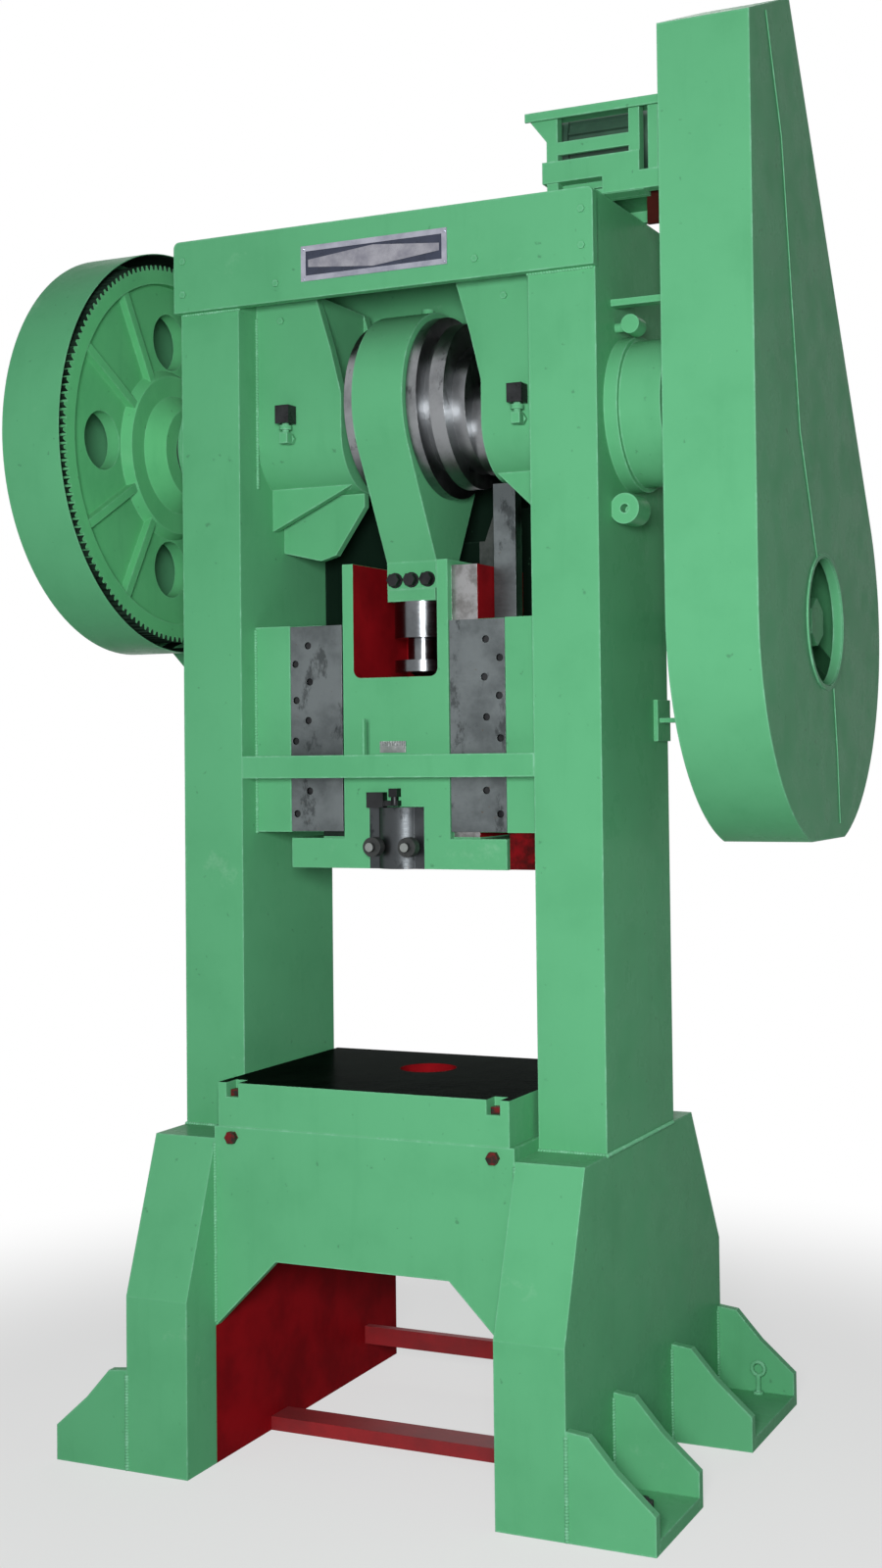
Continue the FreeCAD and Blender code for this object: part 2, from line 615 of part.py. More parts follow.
def rod_outline(strap_r, waist, z_low):
    """The connecting rod seen from the side: a round strap that runs down into a narrow shank."""
    shank_top = z_low + SHANK_H
    angle = math.asin((strap_r - waist) / (PIN_Z - shank_top))
    y_top = strap_r * math.cos(angle)
    z_top = PIN_Z - strap_r * math.sin(angle)
    left = [V(0, -y_top, z_top), V(0, -waist, shank_top), V(0, -waist, z_low)]
    right = [V(0, waist, z_low), V(0, waist, shank_top), V(0, y_top, z_top)]
    lines = Part.makePolygon(left + right)
    arc = Part.Arc(right[-1], V(0, 0, PIN_Z + strap_r), left[0]).toShape()
    return Part.Wire(lines.Edges + [arc])


def connecting_rod():
    """The connecting rod, in one piece with the strap that runs round the eccentric."""
    wire = rod_outline(STRAP_R, ROD_WAIST, ROD_BOTTOM)
    face = Part.Face(wire)
    face.translate(V(-STRAP_X, 0, 0))
    body = face.extrude(V(2 * STRAP_X, 0, 0))
    bore = rod_x(-STRAP_X - 1, STRAP_X + 1, 0, PIN_Z, ECCENTRIC_R + LINING)
    socket = rod_z(ROD_BOTTOM - 1, ROD_BOTTOM + THREAD_IN, 0, 0, THREAD_R)
    oil_boss = rod_z(PIN_Z + STRAP_R - 4, PIN_Z + STRAP_R + 13, 20, 0, 14)
    return join([body, oil_boss]).cut(bore).cut(socket)


def strap_lining():
    ring = rod_x(-STRAP_X, STRAP_X, 0, PIN_Z, ECCENTRIC_R + LINING)
    return ring.cut(rod_x(-STRAP_X - 1, STRAP_X + 1, 0, PIN_Z, ECCENTRIC_R + RUNNING))


def rod_clamp_bar():
    """The split bar under the rod that locks the adjusting screw."""
    bottom = ROD_BOTTOM - CLAMP_H
    bar = box(-STRAP_X + 2, STRAP_X - 2, -ROD_WAIST - 3, ROD_WAIST + 3, bottom, ROD_BOTTOM)
    return bar.cut(rod_z(bottom - 1, ROD_BOTTOM + 1, 0, 0, THREAD_R))


def rod_clamp_bolts():
    """Three bolts across the rod's shank."""
    bolts = []
    z = ROD_BOTTOM + 20
    for x in (-40, 0, 40):
        washer = rod_y(-ROD_WAIST - 4, -ROD_WAIST, x, z, 17)
        head = hexagon(26, 14, V(x, -ROD_WAIST - 18, z), V(0, 1, 0))
        bolts.append(join([washer, head]))
    return group(bolts)


def adjusting_screw():
    """The screw with its large nut, its neck and the ball end that pushes the slide."""
    nut_bottom, neck_bottom, collar_bottom = 1755, 1706, 1680
    thread = rod_z(nut_bottom, ROD_BOTTOM + THREAD_IN, 0, 0, THREAD_R)
    nut = rod_z(nut_bottom, ROD_BOTTOM - CLAMP_H, 0, 0, SCREW_NUT_R)
    neck = rod_z(neck_bottom, nut_bottom, 0, 0, 35)
    collar = rod_z(collar_bottom, neck_bottom, 0, 0, SCREW_NUT_R)
    ball = Part.makeSphere(44, V(0, 0, neck_bottom + 6)).common(box(-50, 50, -50, 50, 1672, neck_bottom))
    return join([thread, nut, neck, collar, ball])


# ---------------------------------------------------------------- gears and back shaft
GEAR_X0, GEAR_X1 = -740.0, -645.0
BACKLASH = 0.7
ADDENDUM = 0.8 * MODULE
DEDENDUM = 1.1 * MODULE
PRESSURE = math.radians(20)


def gear_disc(teeth, y, z, x0, x1, start):
    """A spur gear blank with involute teeth. start is the angle of one tooth's centre."""
    pitch = MODULE * teeth / 2
    base = pitch * math.cos(PRESSURE)
    root = pitch - DEDENDUM
    tip = pitch + ADDENDUM
    half = (math.pi * MODULE / 2 - BACKLASH / 2) / (2 * pitch)
    at_pitch = math.tan(PRESSURE) - PRESSURE
    radii = [max(base, root + 0.5), pitch - 0.3 * MODULE, pitch + 0.25 * MODULE, tip]
    radii = sorted(r for r in radii if r >= max(base, root))
    points = []
    for i in range(teeth):
        centre = start + 2 * math.pi * i / teeth
        flank = []
        for r in radii:
            a = math.acos(min(1.0, base / r))
            flank.append((r, half + at_pitch - (math.tan(a) - a)))
        foot = flank[0][1] + 0.5 / pitch
        left = [(root, -foot)] + [(r, -w) for r, w in flank]
        right = [(r, w) for r, w in reversed(flank)] + [(root, foot)]
        for r, w in left + right:
            points.append(V(x0, y + r * math.cos(centre + w), z + r * math.sin(centre + w)))
    return prism(points, V(x1 - x0, 0, 0))


MESH = math.atan2(BACK_Z - CRANK_Z, BACK_Y)     # direction from the gear's centre to the pinion's
GEAR_HUB_R = 105.0
GEAR_BOSS_R = 200.0             # raised ring round the hub, where the ribs end
GEAR_RIM_R = MODULE * GEAR_TEETH / 2 - 38
WEB_X0, WEB_X1 = GEAR_X0 + 40, GEAR_X1 - 22
GEAR_HOLES = 4
HOLE_RING_R = 270.0


def main_gear():
    """The large gear: toothed rim, thin web with four round holes, ribs in pairs and a stepped hub."""
    toothed = gear_disc(GEAR_TEETH, 0, CRANK_Z, GEAR_X0, GEAR_X1, MESH)
    hollow = rod_x(GEAR_X0 - 1, GEAR_X1 + 1, 0, CRANK_Z, GEAR_RIM_R)
    web = rod_x(WEB_X0, WEB_X1, 0, CRANK_Z, GEAR_RIM_R)
    hub = rod_x(GEAR_X0 - 10, GEAR_X1, 0, CRANK_Z, GEAR_HUB_R)
    boss = Part.makeCone(GEAR_BOSS_R, GEAR_BOSS_R - 14, GEAR_X1 - WEB_X1, V(WEB_X1, 0, CRANK_Z), V(1, 0, 0))
    nose = Part.makeCone(140, GEAR_HUB_R, 40, V(GEAR_X1 - 2, 0, CRANK_Z), V(1, 0, 0))
    parts = [web, hub, boss, nose]
    for i in range(GEAR_HOLES):
        for turn in (-30, 30):
            rib = box(WEB_X1 - 1, GEAR_X1 - 4, GEAR_BOSS_R - 20, GEAR_RIM_R + 1, -10, 10)
            rib.rotate(V(0, 0, 0), V(1, 0, 0), 360 / GEAR_HOLES * i + turn)
            rib.translate(V(0, 0, CRANK_Z))
            parts.append(rib)
    disc = join(parts)
    for i in range(GEAR_HOLES):
        angle = 2 * math.pi * i / GEAR_HOLES
        y, z = HOLE_RING_R * math.cos(angle), CRANK_Z + HOLE_RING_R * math.sin(angle)
        disc = disc.cut(rod_x(WEB_X0 - 1, GEAR_X1 + 1, y, z, 66))
    disc = disc.cut(rod_x(GEAR_X0 - 20, GEAR_X1 + 50, 0, CRANK_Z, GEAR_BORE_R))
    return toothed.cut(hollow).fuse(disc)


def gear_nut():
    return rod_x(-790 + 8, -770, 0, CRANK_Z, 50)


def back_shaft():
    return rod_x(GEAR_X0 - 8, 812, BACK_Y, BACK_Z, BACK_R)


def pinion():
    pitch_step = math.pi / PINION_TEETH
    disc = gear_disc(PINION_TEETH, BACK_Y, BACK_Z, GEAR_X0 - 4, GEAR_X1 + 4, MESH + math.pi + pitch_step)
    hub = rod_x(GEAR_X1 + 4, GEAR_X1 + 30, BACK_Y, BACK_Z, 54)
    return join([disc, hub]).cut(rod_x(GEAR_X0 - 30, GEAR_X1 + 40, BACK_Y, BACK_Z, BACK_R))


def back_bearings():
    """Two pillow blocks on the backs of the columns that carry the back shaft."""
    blocks = []
    for x in (-425, 425):
        foot = box(x - 45, x + 45, COLUMN_Y, COLUMN_Y + 22, BACK_Z - 120, BACK_Z + 120)
        body = box(x - 35, x + 35, COLUMN_Y + 20, BACK_Y, BACK_Z - 62, BACK_Z + 62)
        ring = rod_x(x - 40, x + 40, BACK_Y, BACK_Z, 62)
        block = join([foot, body, ring])
        ends = [rod_y(COLUMN_Y + 22, COLUMN_Y + 36, x, BACK_Z + z, 15) for z in (-95, 95)]
        block = join([block] + ends)
        blocks.append(block.cut(rod_x(x - 50, x + 50, BACK_Y, BACK_Z, BACK_R + RUNNING)))
    return group(blocks)


BELTS = 4
BELT_PITCH = 22.0
BELT_W = 14.0
BELT_T = 10.0
BELT_X = 735.0                  # middle of the belt set
GROOVE = 12.0


def belt_positions():
    return [BELT_X + (i - (BELTS - 1) / 2) * BELT_PITCH for i in range(BELTS)]


def grooved(shape, y, z, radius):
    for x in belt_positions():
        ring = rod_x(x - BELT_W / 2 - 1, x + BELT_W / 2 + 1, y, z, radius + 1)
        core = rod_x(x - BELT_W / 2 - 2, x + BELT_W / 2 + 2, y, z, radius - GROOVE)
        shape = shape.cut(ring.cut(core))
    return shape


def flywheel():
    """The flywheel with belt grooves in its rim, six spokes and a long hub."""
    x0, x1 = BELT_X - 52, BELT_X + 52
    rim = rod_x(x0, x1, BACK_Y, BACK_Z, FLYWHEEL_R).cut(rod_x(x0 - 1, x1 + 1, BACK_Y, BACK_Z, FLYWHEEL_R - 75))
    hub = rod_x(x0 - 10, x1 + 10, BACK_Y, BACK_Z, 72)
    parts = [rim, hub]
    for i in range(6):
        spoke = box(x0 + 24, x1 - 24, -26, 26, 60, FLYWHEEL_R - 70)
        spoke.rotate(V(0, 0, 0), V(1, 0, 0), 60 * i + 15)
        spoke.translate(V(0, BACK_Y, BACK_Z))
        parts.append(spoke)
    wheel = grooved(join(parts), BACK_Y, BACK_Z, FLYWHEEL_R)
    return wheel.cut(rod_x(x0 - 20, x1 + 20, BACK_Y, BACK_Z, BACK_R))


def flywheel_nut():
    return hexagon(90, 14, V(812, BACK_Y, BACK_Z), V(1, 0, 0))


# ---------------------------------------------------------------- motor and belts
MOTOR_Y = 0.0
MOTOR_R = 96.0
MOTOR_SHAFT_R = 19.0
MOTOR_X0, MOTOR_X1 = 400.0, 560.0   # ends of the finned body


def motor_housing():
    """The finned motor body with its feet and terminal box."""
    core = rod_x(MOTOR_X0, MOTOR_X1, MOTOR_Y, MOTOR_Z, MOTOR_R - 10)
    cover = rod_x(MOTOR_X0 - 25, MOTOR_X0, MOTOR_Y, MOTOR_Z, MOTOR_R)
    flange = rod_x(MOTOR_X1, MOTOR_X1 + 25, MOTOR_Y, MOTOR_Z, MOTOR_R - 4)
    parts = [core, cover, flange]
    for i in range(20):
        fin = box(MOTOR_X0 + 2, MOTOR_X1 - 2, -2, 2, MOTOR_R - 14, MOTOR_R)
        fin.rotate(V(0, 0, 0), V(1, 0, 0), 18 * i + 9)
        fin.translate(V(0, MOTOR_Y, MOTOR_Z))
        parts.append(fin)
    for x in (MOTOR_X0 + 5, MOTOR_X1 - 50):
        parts.append(box(x, x + 45, -100, 100, MOTOR_Z - 100, MOTOR_Z - 84))
        parts.append(box(x, x + 45, -60, 60, MOTOR_Z - 86, MOTOR_Z - 60))
    parts.append(box(MOTOR_X0 + 40, MOTOR_X0 + 120, 80, 130, MOTOR_Z - 40, MOTOR_Z + 40))
    return join(parts).cut(rod_x(500, MOTOR_X1 + 30, MOTOR_Y, MOTOR_Z, MOTOR_SHAFT_R + RUNNING))


def motor_plate():
    """The motor's base plate on two rails that stand on the crown."""
    x0, x1 = MOTOR_X0 - 10, MOTOR_X1 + 25
    plate = box(x0, x1, -118, 118, MOTOR_Z - 115, MOTOR_Z - 100)
    rails = [box(x0, x1, y, y + 16, CROWN_TOP, MOTOR_Z - 115) for y in (-110, 94)]
    return join([plate] + rails)


def motor_shaft():
    return rod_x(505, BELT_X + 46, MOTOR_Y, MOTOR_Z, MOTOR_SHAFT_R)


def motor_pulley():
    pulley = rod_x(BELT_X - 44, BELT_X + 44, MOTOR_Y, MOTOR_Z, PULLEY_R)
    pulley = grooved(pulley, MOTOR_Y, MOTOR_Z, PULLEY_R)
    return pulley.cut(rod_x(BELT_X - 50, BELT_X + 50, MOTOR_Y, MOTOR_Z, MOTOR_SHAFT_R))


def belts():
    loops = []
    gap = 0.6
    for x in belt_positions():
        inner_fly = FLYWHEEL_R - GROOVE + gap
        inner_pulley = PULLEY_R - GROOVE + gap
        outer = loop_yz(BACK_Y, BACK_Z, inner_fly + BELT_T, MOTOR_Y, MOTOR_Z, inner_pulley + BELT_T,
                        x - BELT_W / 2, x + BELT_W / 2)
        inner = loop_yz(BACK_Y, BACK_Z, inner_fly, MOTOR_Y, MOTOR_Z, inner_pulley,
                        x - BELT_W / 2 - 1, x + BELT_W / 2 + 1)
        loops.append(outer.cut(inner))
    return group(loops)


BRACKET_FRONT = -150.0
BRACKET_TOP = 2838.0
CHANNEL_X = 331.0               # left end of the stand's top channel


def motor_bracket():
    """The open steel stand in front of the motor that also steadies the belt guard."""
    y0, y1 = BRACKET_FRONT, BRACKET_FRONT + 25
    under = BRACKET_TOP - 6         # underside of the top channel
    left, right = 375, 558          # left faces of the two posts
    posts = [box(left, left + 25, y0, y1, CROWN_TOP, under), box(right, right + 24, y0, y1, CROWN_TOP, under),
             box(600, 622, y0, y1, 2680, under)]
    bar = box(left - 9, right + 24, y0 - 4, y1, 2687, 2732)
    base = box(left - 9, right + 32, y0, y1 + 15, CROWN_TOP, CROWN_TOP + 12)
    channel = box(CHANNEL_X, GUARD_X0, y0 - 12, y0 + 60, under, BRACKET_TOP)
    lip = box(CHANNEL_X, GUARD_X0, y0 - 12, y0 - 6, under - 12, BRACKET_TOP)
    second = box(left + 25, right, y0, y0 + 8, 2745, 2772)
    ledge = box(left + 25, right, y0, y1, 2766, 2772)
    side = box(SPAN, GUARD_X0, y0 - 4, y1, CROWN_TOP + 1, 2690)
    corner = plate_xz([(left, under), (CHANNEL_X, under), (left, 2776)], y0, y1)
    return join(posts + [bar, base, channel, lip, second, ledge, side, corner])


# ---------------------------------------------------------------- guards
GUARD_FRONT = -228.0
GUARD_TOP_FRONT = 2957.0
GUARD_TOP_REAR = (58.0, 3075.0)
GUARD_BOTTOM = 1303.0           # the round bottom ends in a flat strip here


def guard_outline(x, inset):
    """The belt guard from the side: upright front, sloping top, straight back, round flat-ended bottom."""
    r = -GUARD_FRONT + BACK_Y - inset
    front = GUARD_FRONT + inset
    slope = math.atan2(GUARD_TOP_REAR[1] - GUARD_TOP_FRONT, GUARD_TOP_REAR[0] - GUARD_FRONT)
    drop = inset / math.cos(slope) + inset * math.tan(slope)
    rear_y = GUARD_TOP_REAR[0] - inset
    rear_z = GUARD_TOP_REAR[1] - drop - inset * 0.2
    dy, dz = BACK_Y - rear_y, BACK_Z - rear_z
    length = math.hypot(dy, dz)
    tangent = math.atan2(dz, dy) + math.asin(r / length)
    reach = math.sqrt(length ** 2 - r ** 2)
    touch = (rear_y + reach * math.cos(tangent), rear_z + reach * math.sin(tangent))
    top_front = V(x, front, GUARD_TOP_FRONT - drop + inset * math.tan(slope) * 2)
    top_rear = V(x, rear_y, rear_z)
    start = V(x, touch[0], touch[1])
    end = V(x, front, BACK_Z)
    bottom = V(x, BACK_Y, BACK_Z - r)
    edges = [Part.LineSegment(end, top_front).toShape(), Part.LineSegment(top_front, top_rear).toShape(),
             Part.LineSegment(top_rear, start).toShape(), Part.Arc(start, bottom, end).toShape()]
    face = Part.Face(Part.Wire(edges))
    below = box(x - 1, x + 1, front - 1, BACK_Y + r + 1, BACK_Z - r - 1, GUARD_BOTTOM + inset)
    return face.cut(below).Faces[0]


WINDOW_R = 140.0


def belt_guard():
    """The belt guard's box: the rim strip and the outer face, with a trim ring round its window."""
    depth = GUARD_X1 - GUARD_X0
    outer = guard_outline(GUARD_X0, 0).extrude(V(depth, 0, 0))
    inner = guard_outline(GUARD_X0 - 1, SHEET).extrude(V(depth + 1 - SHEET, 0, 0))
    trim = rod_x(GUARD_X1 - 1, GUARD_X1 + 4, BACK_Y, BACK_Z, WINDOW_R + 9)
    body = join([outer.cut(inner), trim])
    return body.cut(rod_x(GUARD_X1 - 20, GUARD_X1 + 5, BACK_Y, BACK_Z, WINDOW_R))


def belt_guard_back():
    """The inner face of the guard, with holes for the back shaft and the motor shaft."""
    plate = guard_outline(GUARD_X0, SHEET).extrude(V(SHEET, 0, 0))
    plate = plate.cut(rod_x(GUARD_X0 - 1, GUARD_X0 + 5, BACK_Y, BACK_Z, 60))
    return plate.cut(rod_x(GUARD_X0 - 1, GUARD_X0 + 5, MOTOR_Y, MOTOR_Z, 45))


def belt_guard_brackets():
    """The bars that carry the guard, the upper one with a post and a plug under it, and the top stay."""
    face = -115.0                   # front face of the upper bar
    post_x = GUARD_X0 - 35
    bar = box(SPAN, post_x, face, face + 30, 2424, 2438)
    post = box(post_x, GUARD_X0, face, face + 8, 2338, 2450)
    plug = join([rod_x(SPAN, SPAN + 42, face + 30, 2384, 10), rod_y(face, face + 45, SPAN + 42, 2384, 20)])
    upper = join([bar, post])
    lower = join([box(SPAN, GUARD_X0, 120, 180, 1560, 1570), box(SPAN, SPAN + 10, 110, 190, 1520, 1610)])
    stay = box(576, GUARD_X0, -94, -84, 2593, 2672)
    return group([upper, plug, lower, stay])


DRUM_R = 468.0
DRUM_X0 = -788.0
DRUM_X1 = -638.0
LOBE_R = 88.0
LOBE_STEP = 34.0                # how much shallower the lobe is than the drum


def drum_outline(inset, x_start, x_end):
    """A round drum with a smaller and shallower lobe for the pinion at its lower rear."""
    disc = rod_x(x_start, x_end, 0, CRANK_Z, DRUM_R - inset)
    lobe = loop_yz(BACK_Y / 2, (CRANK_Z + BACK_Z) / 2, 200 - inset, BACK_Y, BACK_Z, LOBE_R - inset,
                   x_start + LOBE_STEP, x_end)
    return disc.fuse(lobe)


def gear_guard():
    """The drum round the gear and pinion: a rim with a closed far face and two welded arms."""
    outer = drum_outline(0, DRUM_X0, DRUM_X1)
    inner = drum_outline(SHEET, DRUM_X0 + SHEET, DRUM_X1 + 1)
    shell = outer.cut(inner)
    upper = box(DRUM_X1 - 40, -SPAN, 150, 190, CRANK_Z + 425, CRANK_Z + 450)
    lower = box(DRUM_X1 - 40, -SPAN, 205, 245, 1684, 1712)
    foot = box(-SPAN - 12, -SPAN, 150, 245, 1670, 1730)
    return join([shell, upper.cut(inner), lower.cut(inner), foot])


# ---------------------------------------------------------------- write every node
def main():
    right_leg = leg()
    right_column = column()
    front_bar, rear_bar = floor_bars()
    left_bracket = mirror_x(gib_bracket(tall=False))
    right_bracket = gib_bracket(tall=True)
    nodes = {
        "left_column": mirror_x(right_column),
        "right_column": right_column,
        "left_leg": mirror_x(right_leg),
        "right_leg": right_leg,
        "foot_gussets": foot_gussets(),
        "foot_pads": foot_pads(),
        "front_floor_bar": front_bar,
        "rear_floor_bar": rear_bar,
        "bed_front_plate": bed_front_plate(),
        "bed_rear_plate": bed_rear_plate(),
        "bed_top_plate": bed_top_plate(),
        "bolster_plate": bolster_plate(),
        "bolster_bolts": bolster_bolts(),
        "crown_front_plate": crown_plate(),
        "crown_rear_plate": mirror_y(crown_plate()),
        "crown_top_plate": crown_top_plate(),
        "crown_bolts": crown_bolts(),
        "nameplate_frame": nameplate_frame(),
        "nameplate": nameplate(),
        "left_bearing_housing": mirror_x(housing(-LEFT_END, 62, 205, covered=False)),
        "right_bearing_housing": housing(RIGHT_END, -60, 240, covered=True),
        "crank_bushes": group([mirror_x(bush(-LEFT_END)), bush(RIGHT_END)]),
        "oil_cups": oil_cups(),
        "oil_fittings": oil_fittings(),
        "housing_bolts": housing_bolts(),
        "side_lug": side_lug(),
        "hanging_braces": hanging_braces(),
        "left_gib_bracket": left_bracket,
        "right_gib_bracket": right_bracket,
        "left_gib_plates": mirror_x(gib_plates(tall=False)),
        "right_gib_plates": gib_plates(tall=True),
        "gib_screws": gib_screws(),
        "front_tie_bar": front_tie_bar(),
        "rear_tie_plate": rear_tie_plate(),
        "stroke_pointer": stroke_pointer(),
        "gear_guard": gear_guard(),
        "belt_guard": belt_guard(),
        "belt_guard_back": belt_guard_back(),
        "belt_guard_brackets": belt_guard_brackets(),
        "motor_bracket": motor_bracket(),
        "motor_plate": motor_plate(),
        "motor_housing": motor_housing(),
        "back_shaft_bearings": back_bearings(),
        "drive_belts": belts(),
        "crankshaft": crankshaft(),
        "main_gear": main_gear(),
        "gear_nut": gear_nut(),
        "connecting_rod": connecting_rod(),
        "strap_lining": strap_lining(),
        "rod_clamp_bar": rod_clamp_bar(),
        "rod_clamp_bolts": rod_clamp_bolts(),
        "adjusting_screw": adjusting_screw(),
        "slide": slide(),
        "shank_clamp_cap": shank_clamp_cap(),
        "shank_clamp_studs": shank_clamp_studs(),
        "clamp_set_screw": clamp_set_screw(),
        "scale_plate": scale_plate(),
        "back_shaft": back_shaft(),
        "pinion_flywheel": group([pinion(), flywheel(), flywheel_nut()]),
        "motor_rotor": join([motor_shaft(), motor_pulley()]),
    }
    for name, shape in nodes.items():
        save(name, shape)
    print(len(nodes), "nodes")


main()
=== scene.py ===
# %% [markdown]
# # A mechanical stamping press
# The press is a welded H frame with a crankshaft across its top, a slide between its columns, a large
# gear in a drum on its left and a belt drive in a tall guard on its right. Its solids come from the
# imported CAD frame. They could be modelled again here, but then the two would drift apart, so this script
# takes them as they are. It gives each one its finish, adds the small relief that a step closer shows,
# and sets the lights and the camera.

# %% setup: load the frame
import math
import bpy
from mathutils import Matrix, Vector


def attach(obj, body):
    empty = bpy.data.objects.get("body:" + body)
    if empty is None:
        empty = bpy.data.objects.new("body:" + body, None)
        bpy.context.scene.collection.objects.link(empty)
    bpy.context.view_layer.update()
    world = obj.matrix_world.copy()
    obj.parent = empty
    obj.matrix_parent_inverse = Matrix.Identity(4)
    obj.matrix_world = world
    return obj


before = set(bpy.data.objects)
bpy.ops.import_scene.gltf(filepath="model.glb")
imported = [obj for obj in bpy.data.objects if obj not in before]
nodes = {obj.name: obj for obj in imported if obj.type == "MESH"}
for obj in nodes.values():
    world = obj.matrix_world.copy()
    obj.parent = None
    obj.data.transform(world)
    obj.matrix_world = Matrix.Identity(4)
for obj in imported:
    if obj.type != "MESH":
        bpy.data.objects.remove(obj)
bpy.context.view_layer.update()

# %% [markdown]
# ## Places that more than one piece needs
# New pieces are laid on faces of the frame, and finishes change where one part of a node ends. Those
# places could be measured on the meshes each time. They are written down once instead, in metres, because
# they repeat the CAD's own driving sizes and are easy to compare with them.

# %% places on the press
SPAN = 0.500            # half of the width over the columns
CLEAR = 0.350           # half of the gap between them
COLUMN_Y = 0.200
LEG_TOP = 0.685
CROWN_BOTTOM = 2.490
CRANK_Z = 2.212
BED_FRONT, BOLSTER_TOP = -0.323, 0.805
SLIDE_FRONT = -0.140
GUIDE_BOTTOM, GUIDE_TOP = 1.330, 1.785
GUARD_X1 = 0.843        # outer face of the belt guard
GEAR_CENTRES = 0.510    # from the crankshaft to the back shaft
BACK_Y = 0.263
BACK_Z = CRANK_Z - math.sqrt(GEAR_CENTRES ** 2 - BACK_Y ** 2)
BEARING_X = 0.425       # the back shaft's bearings, left and right
TOOTH_ROOT_R = 0.4318   # just outside the roots of the main gear's teeth
MARGIN = 0.001          # a finish ends this much off the face that bounds it
print("back shaft at", round(BACK_Y, 3), round(BACK_Z, 3))

# %% [markdown]
# ## Small tools for modelling
# Edit-mode operators act on all that is selected, so each piece starts with nothing else selected. A nut
# or a screw that repeats is modelled once and copied, and each copy has its own mesh. A finished piece
# could keep its place beside its mesh, but here it sits at the origin with its place in its mesh, as the
# CAD nodes do, because a pattern on object coordinates then runs on from one piece to the next.

# %% tools that select and place


def clear_selection():
    if bpy.context.object and bpy.context.object.mode != "OBJECT":
        bpy.ops.object.mode_set(mode="OBJECT")
    bpy.ops.object.select_all(action="DESELECT")


def select_only(piece):
    """Selects this piece alone and makes it the active one."""
    clear_selection()
    piece.select_set(True)
    bpy.context.view_layer.objects.active = piece


def keep_place(piece):
    """Puts the piece's place, turn and scale into its mesh."""
    select_only(piece)
    bpy.ops.object.transform_apply(location=True, rotation=True, scale=True)
    return piece


print("placing tools ready")

# %% [markdown]
# A turned or pressed edge is never quite sharp. Each could be bevelled by hand in edit mode, but a
# modifier finds the edges by their angle. What repeats is copied, and what is one piece to the eye is
# joined to one object.

# %% tools that round, copy and join
SMOOTH_ANGLE = math.radians(35)     # edges flatter than this are shaded as if they were round


def soften(piece, width, segments=2):
    """Rounds the piece's edges with a bevel modifier."""
    bevel = piece.modifiers.new("soft", "BEVEL")
    bevel.width = width
    bevel.segments = segments
    bevel.limit_method = "ANGLE"
    select_only(piece)
    bpy.ops.object.modifier_apply(modifier="soft")
    bpy.ops.object.shade_smooth_by_angle(angle=SMOOTH_ANGLE)
    return piece


def copy_of(piece):
    """A copy with its own mesh, selected and active."""
    copy = piece.copy()
    copy.data = piece.data.copy()
    bpy.context.collection.objects.link(copy)
    select_only(copy)
    return copy


def copies_at(piece, places):
    """Copies of a piece that was modelled at the origin, one at each place. The model itself goes."""
    copies = []
    for place in places:
        copy = copy_of(piece)
        copy.location = place
        copies.append(keep_place(copy))
    bpy.data.objects.remove(piece)
    return copies


def merge(name, pieces):
    """Joins pieces into one object."""
    clear_selection()
    for piece in pieces:
        piece.select_set(True)
    bpy.context.view_layer.objects.active = pieces[0]
    bpy.ops.object.join()
    pieces[0].name = name
    return pieces[0]


def finish_piece(piece, material, body):
    """Gives a new piece its finish and lets it ride on a body."""
    piece.data.materials.clear()
    piece.data.materials.append(material)
    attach(piece, body)
    return piece


print("rounding, copying and joining tools ready")

# %% [markdown]
# ## Colours
# The press has one green enamel over red primer. A colour could be written where it is used, but finishes
# that share one would soon differ, so each has a name here. Flash light leaves little shade on the front,
# and the tones were matched to the picture face by face. The gear and the wheel stand in the shade of
# their guards, and their own greens are lit and shaded copies of the press's green: painted light and shade.

# %% colours
GREEN = (0.118, 0.420, 0.205)           # the press's enamel
GREEN_DEEP = (0.092, 0.352, 0.165)      # the same where it is thicker
GREEN_PALE = (0.310, 0.640, 0.450)      # thin enamel on corners, and painted highlight there
RUBBED_GREEN = (0.300, 0.560, 0.380)
GRIMY_GREEN = (0.050, 0.140, 0.075)
# The gear's and the wheel's greens: the press's green with painted light and shade in it.
GEAR_GREEN, GEAR_GREEN_DEEP = (0.122, 0.480, 0.205), (0.078, 0.345, 0.145)
WHEEL_GREEN, WHEEL_GREEN_DEEP = (0.095, 0.365, 0.165), (0.060, 0.260, 0.115)
# Near-black green for the rear tie plate: painted shade in the dark space behind the rod.
SHADED_GREEN, SHADED_GREEN_DEEP = (0.006, 0.016, 0.010), (0.003, 0.008, 0.005)
PRIMER = (0.300, 0.007, 0.011)
PRIMER_DEEP = (0.185, 0.005, 0.008)
STEEL = (0.300, 0.300, 0.305)
STEEL_STAIN = (0.12, 0.115, 0.11)
DUST_GREY = (0.260, 0.310, 0.260)
print("colours named")

# %% [markdown]
# ## Effects that several finishes share
# Real enamel is never one flat colour: spray passes vary it, dust greys the faces that look up, and
# corners lose their edge. Pale corners also serve as a painted highlight. A painted picture could show
# all this, but it would need unwrapped solids and would show its seams. Noise in object coordinates
# needs neither. Each effect is one node group that gives out a mask, a colour or a height.

# %% tool for a new group


def new_group(name, inputs, outputs):
    """An empty node group with its sockets. inputs lists (label, kind, value), outputs (label, kind)."""
    group = bpy.data.node_groups.new(name, "ShaderNodeTree")
    for label, kind, value in inputs:
        socket = group.interface.new_socket(name=label, in_out="INPUT", socket_type=kind)
        socket.default_value = value
    for label, kind in outputs:
        group.interface.new_socket(name=label, in_out="OUTPUT", socket_type=kind)
    start = group.nodes.new("NodeGroupInput")
    end = group.nodes.new("NodeGroupOutput")
    return group, start, end


print("group tool ready")

